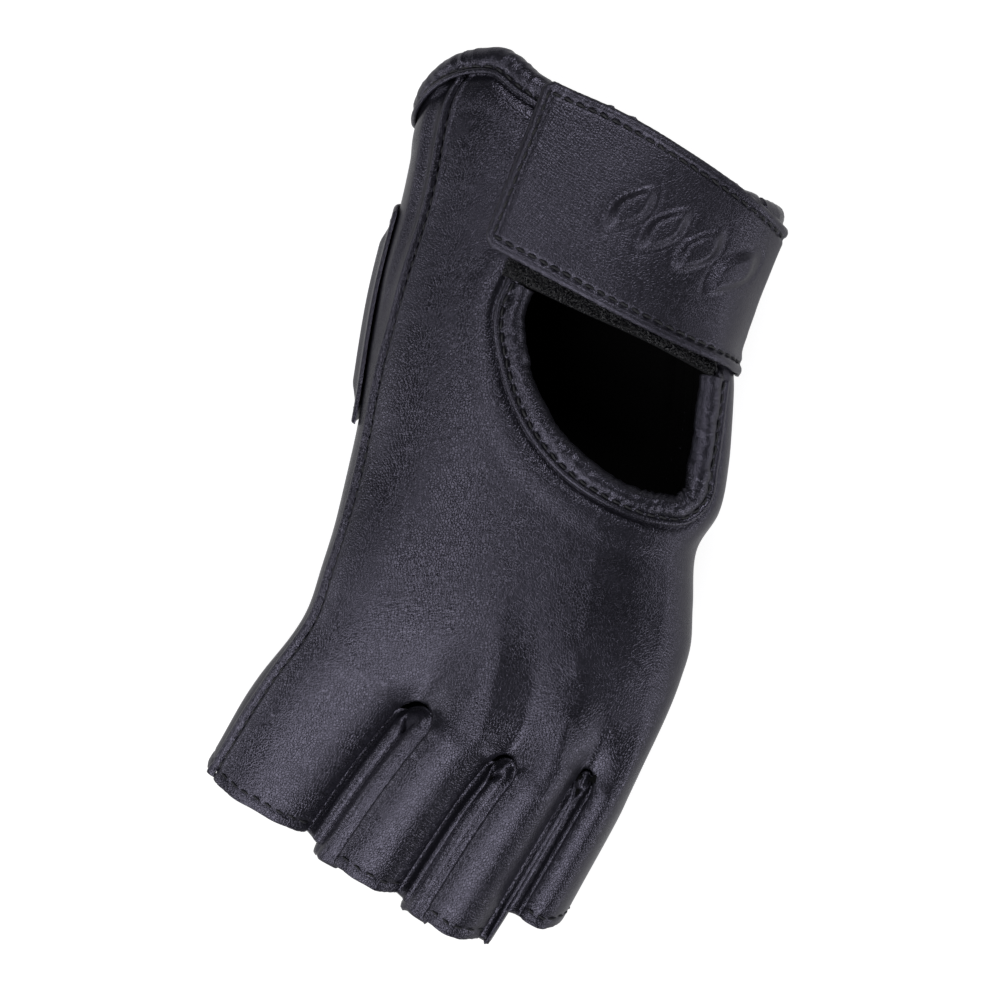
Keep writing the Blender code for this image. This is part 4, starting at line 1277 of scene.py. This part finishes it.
def hooks(bm, points_at):
    """Rows of small hooks."""
    s, t = np.meshgrid(np.linspace(0.01, 0.99, 44), np.linspace(0.03, 0.97, 24), indexing="ij")
    places, out = points_at(s.ravel(), t.ravel())
    turn = np.linspace(0, 1.25 * math.pi, 6)
    for k, (place, up) in enumerate(zip(places, out)):
        side = np.array((1.0, 0.0, 0.0)) * (1 if k % 2 else -1)
        stem = place + up * 0.35
        curl = stem + up * 0.28 * np.sin(turn)[:, None] + side * 0.24 * (1 - np.cos(turn))[:, None]
        line = np.concatenate([[place - 0.1 * up], curl])
        add_tube(bm, tube_rings(line, np.array((0.0, 1.0, 0.0)) + 0 * line, np.full(len(line), 0.075), 4))


def loop_tape_place(s, t):
    x = 37.5 - 53.0 * s
    y = LOOP_EDGE(x) + t * (-75.5 - LOOP_EDGE(x))
    x = x + 7.0 * t
    angle = angle_at(x, y)
    out = normals(on_hand, angle, y)
    return on_hand(angle, y) + (LAYER_GAP + TAPE * 0.6) * out, out


def hook_tape_place(s, t):
    angle, y = strap_place(0.07 + 0.65 * s, 0.165 + 0.67 * t)
    out = normals(on_hand, angle, y)
    return on_hand(angle, y) + (STACK["hook_tape"] + TAPE * 0.4) * out, -out


def tapes():
    tape("loop_tape_ground", loop_tape_place, (90, 60), "loop_tape", GLOVE, loops)
    tape("hook_tape_ground", hook_tape_place, (80, 40), "strap_hook_tape", STRAP, hooks)


# ---- The padded patch ----

PATCH_ANGLES = (6.0, -112.0)
PATCH_Y = (-42.0, 11.0)
PATCH_GAP = 0.6
PATCH_ROW = ((0.12, 0.96), (0.055, 0.945))  # where its stitches run, as shares round and along it


def patch_place(share, across):
    """The angle and y at shares round and along the patch, whose finger-side edge slants."""
    middle, half = sum(PATCH_Y) / 2, (PATCH_Y[1] - PATCH_Y[0]) / 2
    angle = PATCH_ANGLES[0] + share * (PATCH_ANGLES[1] - PATCH_ANGLES[0])
    y = middle + (2 * across - 1) * half * (1 - 0.10 * (2 * share - 1) ** 6)
    front = PATCH_Y[1] - 9.0 * np.clip(share * 3, 0, 1)
    return angle, np.where(y > middle, middle + (y - middle) * (front - middle) / half, y)


def palm_patch():
    """Leather over foam: a flat sewn rim and a raised, quilted middle that the glove rests on."""
    share, across = np.broadcast_arrays(crowded(120)[:, None], crowded(80)[None, :])
    angle, y = patch_place(share, across)
    inwards = np.minimum.reduce([share, 1 - share, across * 0.6, (1 - across) * 0.6])
    rise = smooth(inwards, 0.055, 0.12)
    lift = LAYER_GAP + LEATHER + rise * (PATCH_THICK - LEATHER)
    edge = roll(inwards * 95.0, 0.9)
    base = on_hand(angle, y)
    outer = base + (lift + edge)[..., None] * normals(on_hand, angle, y)
    outer[..., 2] = np.maximum(outer[..., 2], 0.0)
    inner = base + PATCH_GAP * normals(on_hand, angle, y)
    bm = bmesh.new()
    grids = [add_grid(bm, inner), add_grid(bm, outer, flip=True)]
    rows, columns = share.shape
    rim = [(0, j) for j in range(columns)] + [(i, columns - 1) for i in range(1, rows)]
    rim += [(rows - 1, j) for j in range(columns - 2, -1, -1)] + [(i, 0) for i in range(rows - 2, 0, -1)]
    for (i, j), (k, m) in zip(rim, rim[1:] + rim[:1]):
        bm.faces.new([grids[0][i][j], grids[0][k][m], grids[1][k][m], grids[1][i][j]])
    bmesh.ops.recalc_face_normals(bm, faces=bm.faces)
    made = piece("palm_patch_leather", bm, [panel_leather()], GLOVE, ["palm_patch", "palm_patch_foam"])

    (first, last), (rear, front) = PATCH_ROW
    along, around = np.linspace(rear, front, 60), np.linspace(first, last, 120)
    ring = [(first, t) for t in along] + [(t, front) for t in around]
    ring += [(last, t) for t in along[::-1]] + [(t, rear) for t in around[::-1]]
    angle, y = patch_place(*np.array(ring).T)
    line = raised(on_hand, LAYER_GAP + LEATHER)(angle, y)
    stitch_row("palm_patch_stitches", line, normals(on_hand, angle, y), ["palm_patch_thread"])


# ---- Studio ----

CAMERA_OVER = (12.08, 6.98)
CAMERA_TURN = 210.0
PIXELS_PER_MM = 4.3
CAMERA_HEIGHT = 3.0  # metres over the back of the hand
SENSOR = 36.0
TABLE_GLOW = 0.9  # of the table that shows, which is white
REFLECTED_GLOW = 0.55  # and of the one that the glove's sides reflect


# Softboxes round the table: azimuth from the picture's right towards its top, height over the table, both in
# degrees, then the side in metres and the power in watts.
SOFTBOXES = (
    ("left_high", 180, 70, 0.6, 3.8),
    ("lower_left", 248, 50, 0.7, 7.0),
    ("upper_right", 72, 50, 0.6, 7.4),
    ("left_low", 182, 17, 0.6, 4.4),
    ("lower_left_low", 235, 26, 0.7, 4.4),
    ("lower_right_low", 320, 19, 0.6, 5.0),
    ("right_low", 0, 15, 0.6, 2.8),
)
SOFTBOX_DISTANCE = 1.6


def softboxes():
    right, up = Vector((-0.866, -0.5, 0)), Vector((0.5, -0.866, 0))  # of the picture
    for name, azimuth, elevation, size, watts in SOFTBOXES:
        a, e = math.radians(azimuth), math.radians(elevation)
        towards = (right * math.cos(a) + up * math.sin(a)) * math.cos(e) + Vector((0, 0, math.sin(e)))
        lamp = bpy.data.lights.new(name, "AREA")
        lamp.size = size
        lamp.energy = watts
        lamp.color = (0.96, 0.96, 1.0)
        placed = show(name, lamp)
        placed.location = towards * SOFTBOX_DISTANCE
        placed.rotation_euler = (-towards).to_track_quat("-Z", "Y").to_euler()


def card(name, height, grey, glow):
    """A wide level plane of the stage, with a soft even glow."""
    bm = bmesh.new()
    bmesh.ops.create_grid(bm, x_segments=1, y_segments=1, size=3.0)
    mesh = bpy.data.meshes.new(name)
    bm.to_mesh(mesh)
    bm.free()
    finish = bpy.data.materials.new(name)
    finish.use_nodes = True
    shader = finish.node_tree.nodes["Principled BSDF"].inputs
    shader["Base Color"].default_value = (grey, grey, grey, 1)
    shader["Roughness"].default_value = 0.9
    shader["Emission Color"].default_value = (1, 1, 1, 1)
    shader["Emission Strength"].default_value = glow
    mesh.materials.append(finish)
    made = show(name, mesh)
    made.location.z = height
    return made


def studio():
    """A camera straight above, turned so that the fingers point down and to the left, over a white table."""
    camera = bpy.data.cameras.new("camera")
    camera.sensor_width = SENSOR
    camera.lens = PIXELS_PER_MM * SENSOR * CAMERA_HEIGHT
    camera.clip_end = 10.0
    held = show("camera", camera)
    x, y = CAMERA_OVER
    held.location = ((x - ORIGIN[0]) * MM, (y - ORIGIN[1]) * MM, CAMERA_HEIGHT + 0.03)
    held.rotation_euler = (0, 0, math.radians(CAMERA_TURN))
    bpy.context.scene.camera = held

    card("table", -0.0004, 0.3, TABLE_GLOW).visible_glossy = False
    card("reflected_table", -0.01, 0.0, REFLECTED_GLOW)

    softboxes()
    world = bpy.data.worlds.new("studio")
    world.use_nodes = True
    world.node_tree.nodes["Background"].inputs["Color"].default_value = (1, 1, 1, 1)
    world.node_tree.nodes["Background"].inputs["Strength"].default_value = 0.03
    bpy.context.scene.world = world
    bpy.context.scene.view_settings.view_transform = "Standard"


def main():
    studio()
    back_panel()
    palm_panel()
    seam_allowances()
    thumb()
    for slot, name in enumerate(("index_middle", "middle_ring", "ring_little")):
        fourchette(slot, f"{name}_fourchette")
    bindings()
    hem_stitches()
    side_seam_stitches()
    strap()
    tapes()
    palm_patch()


main()
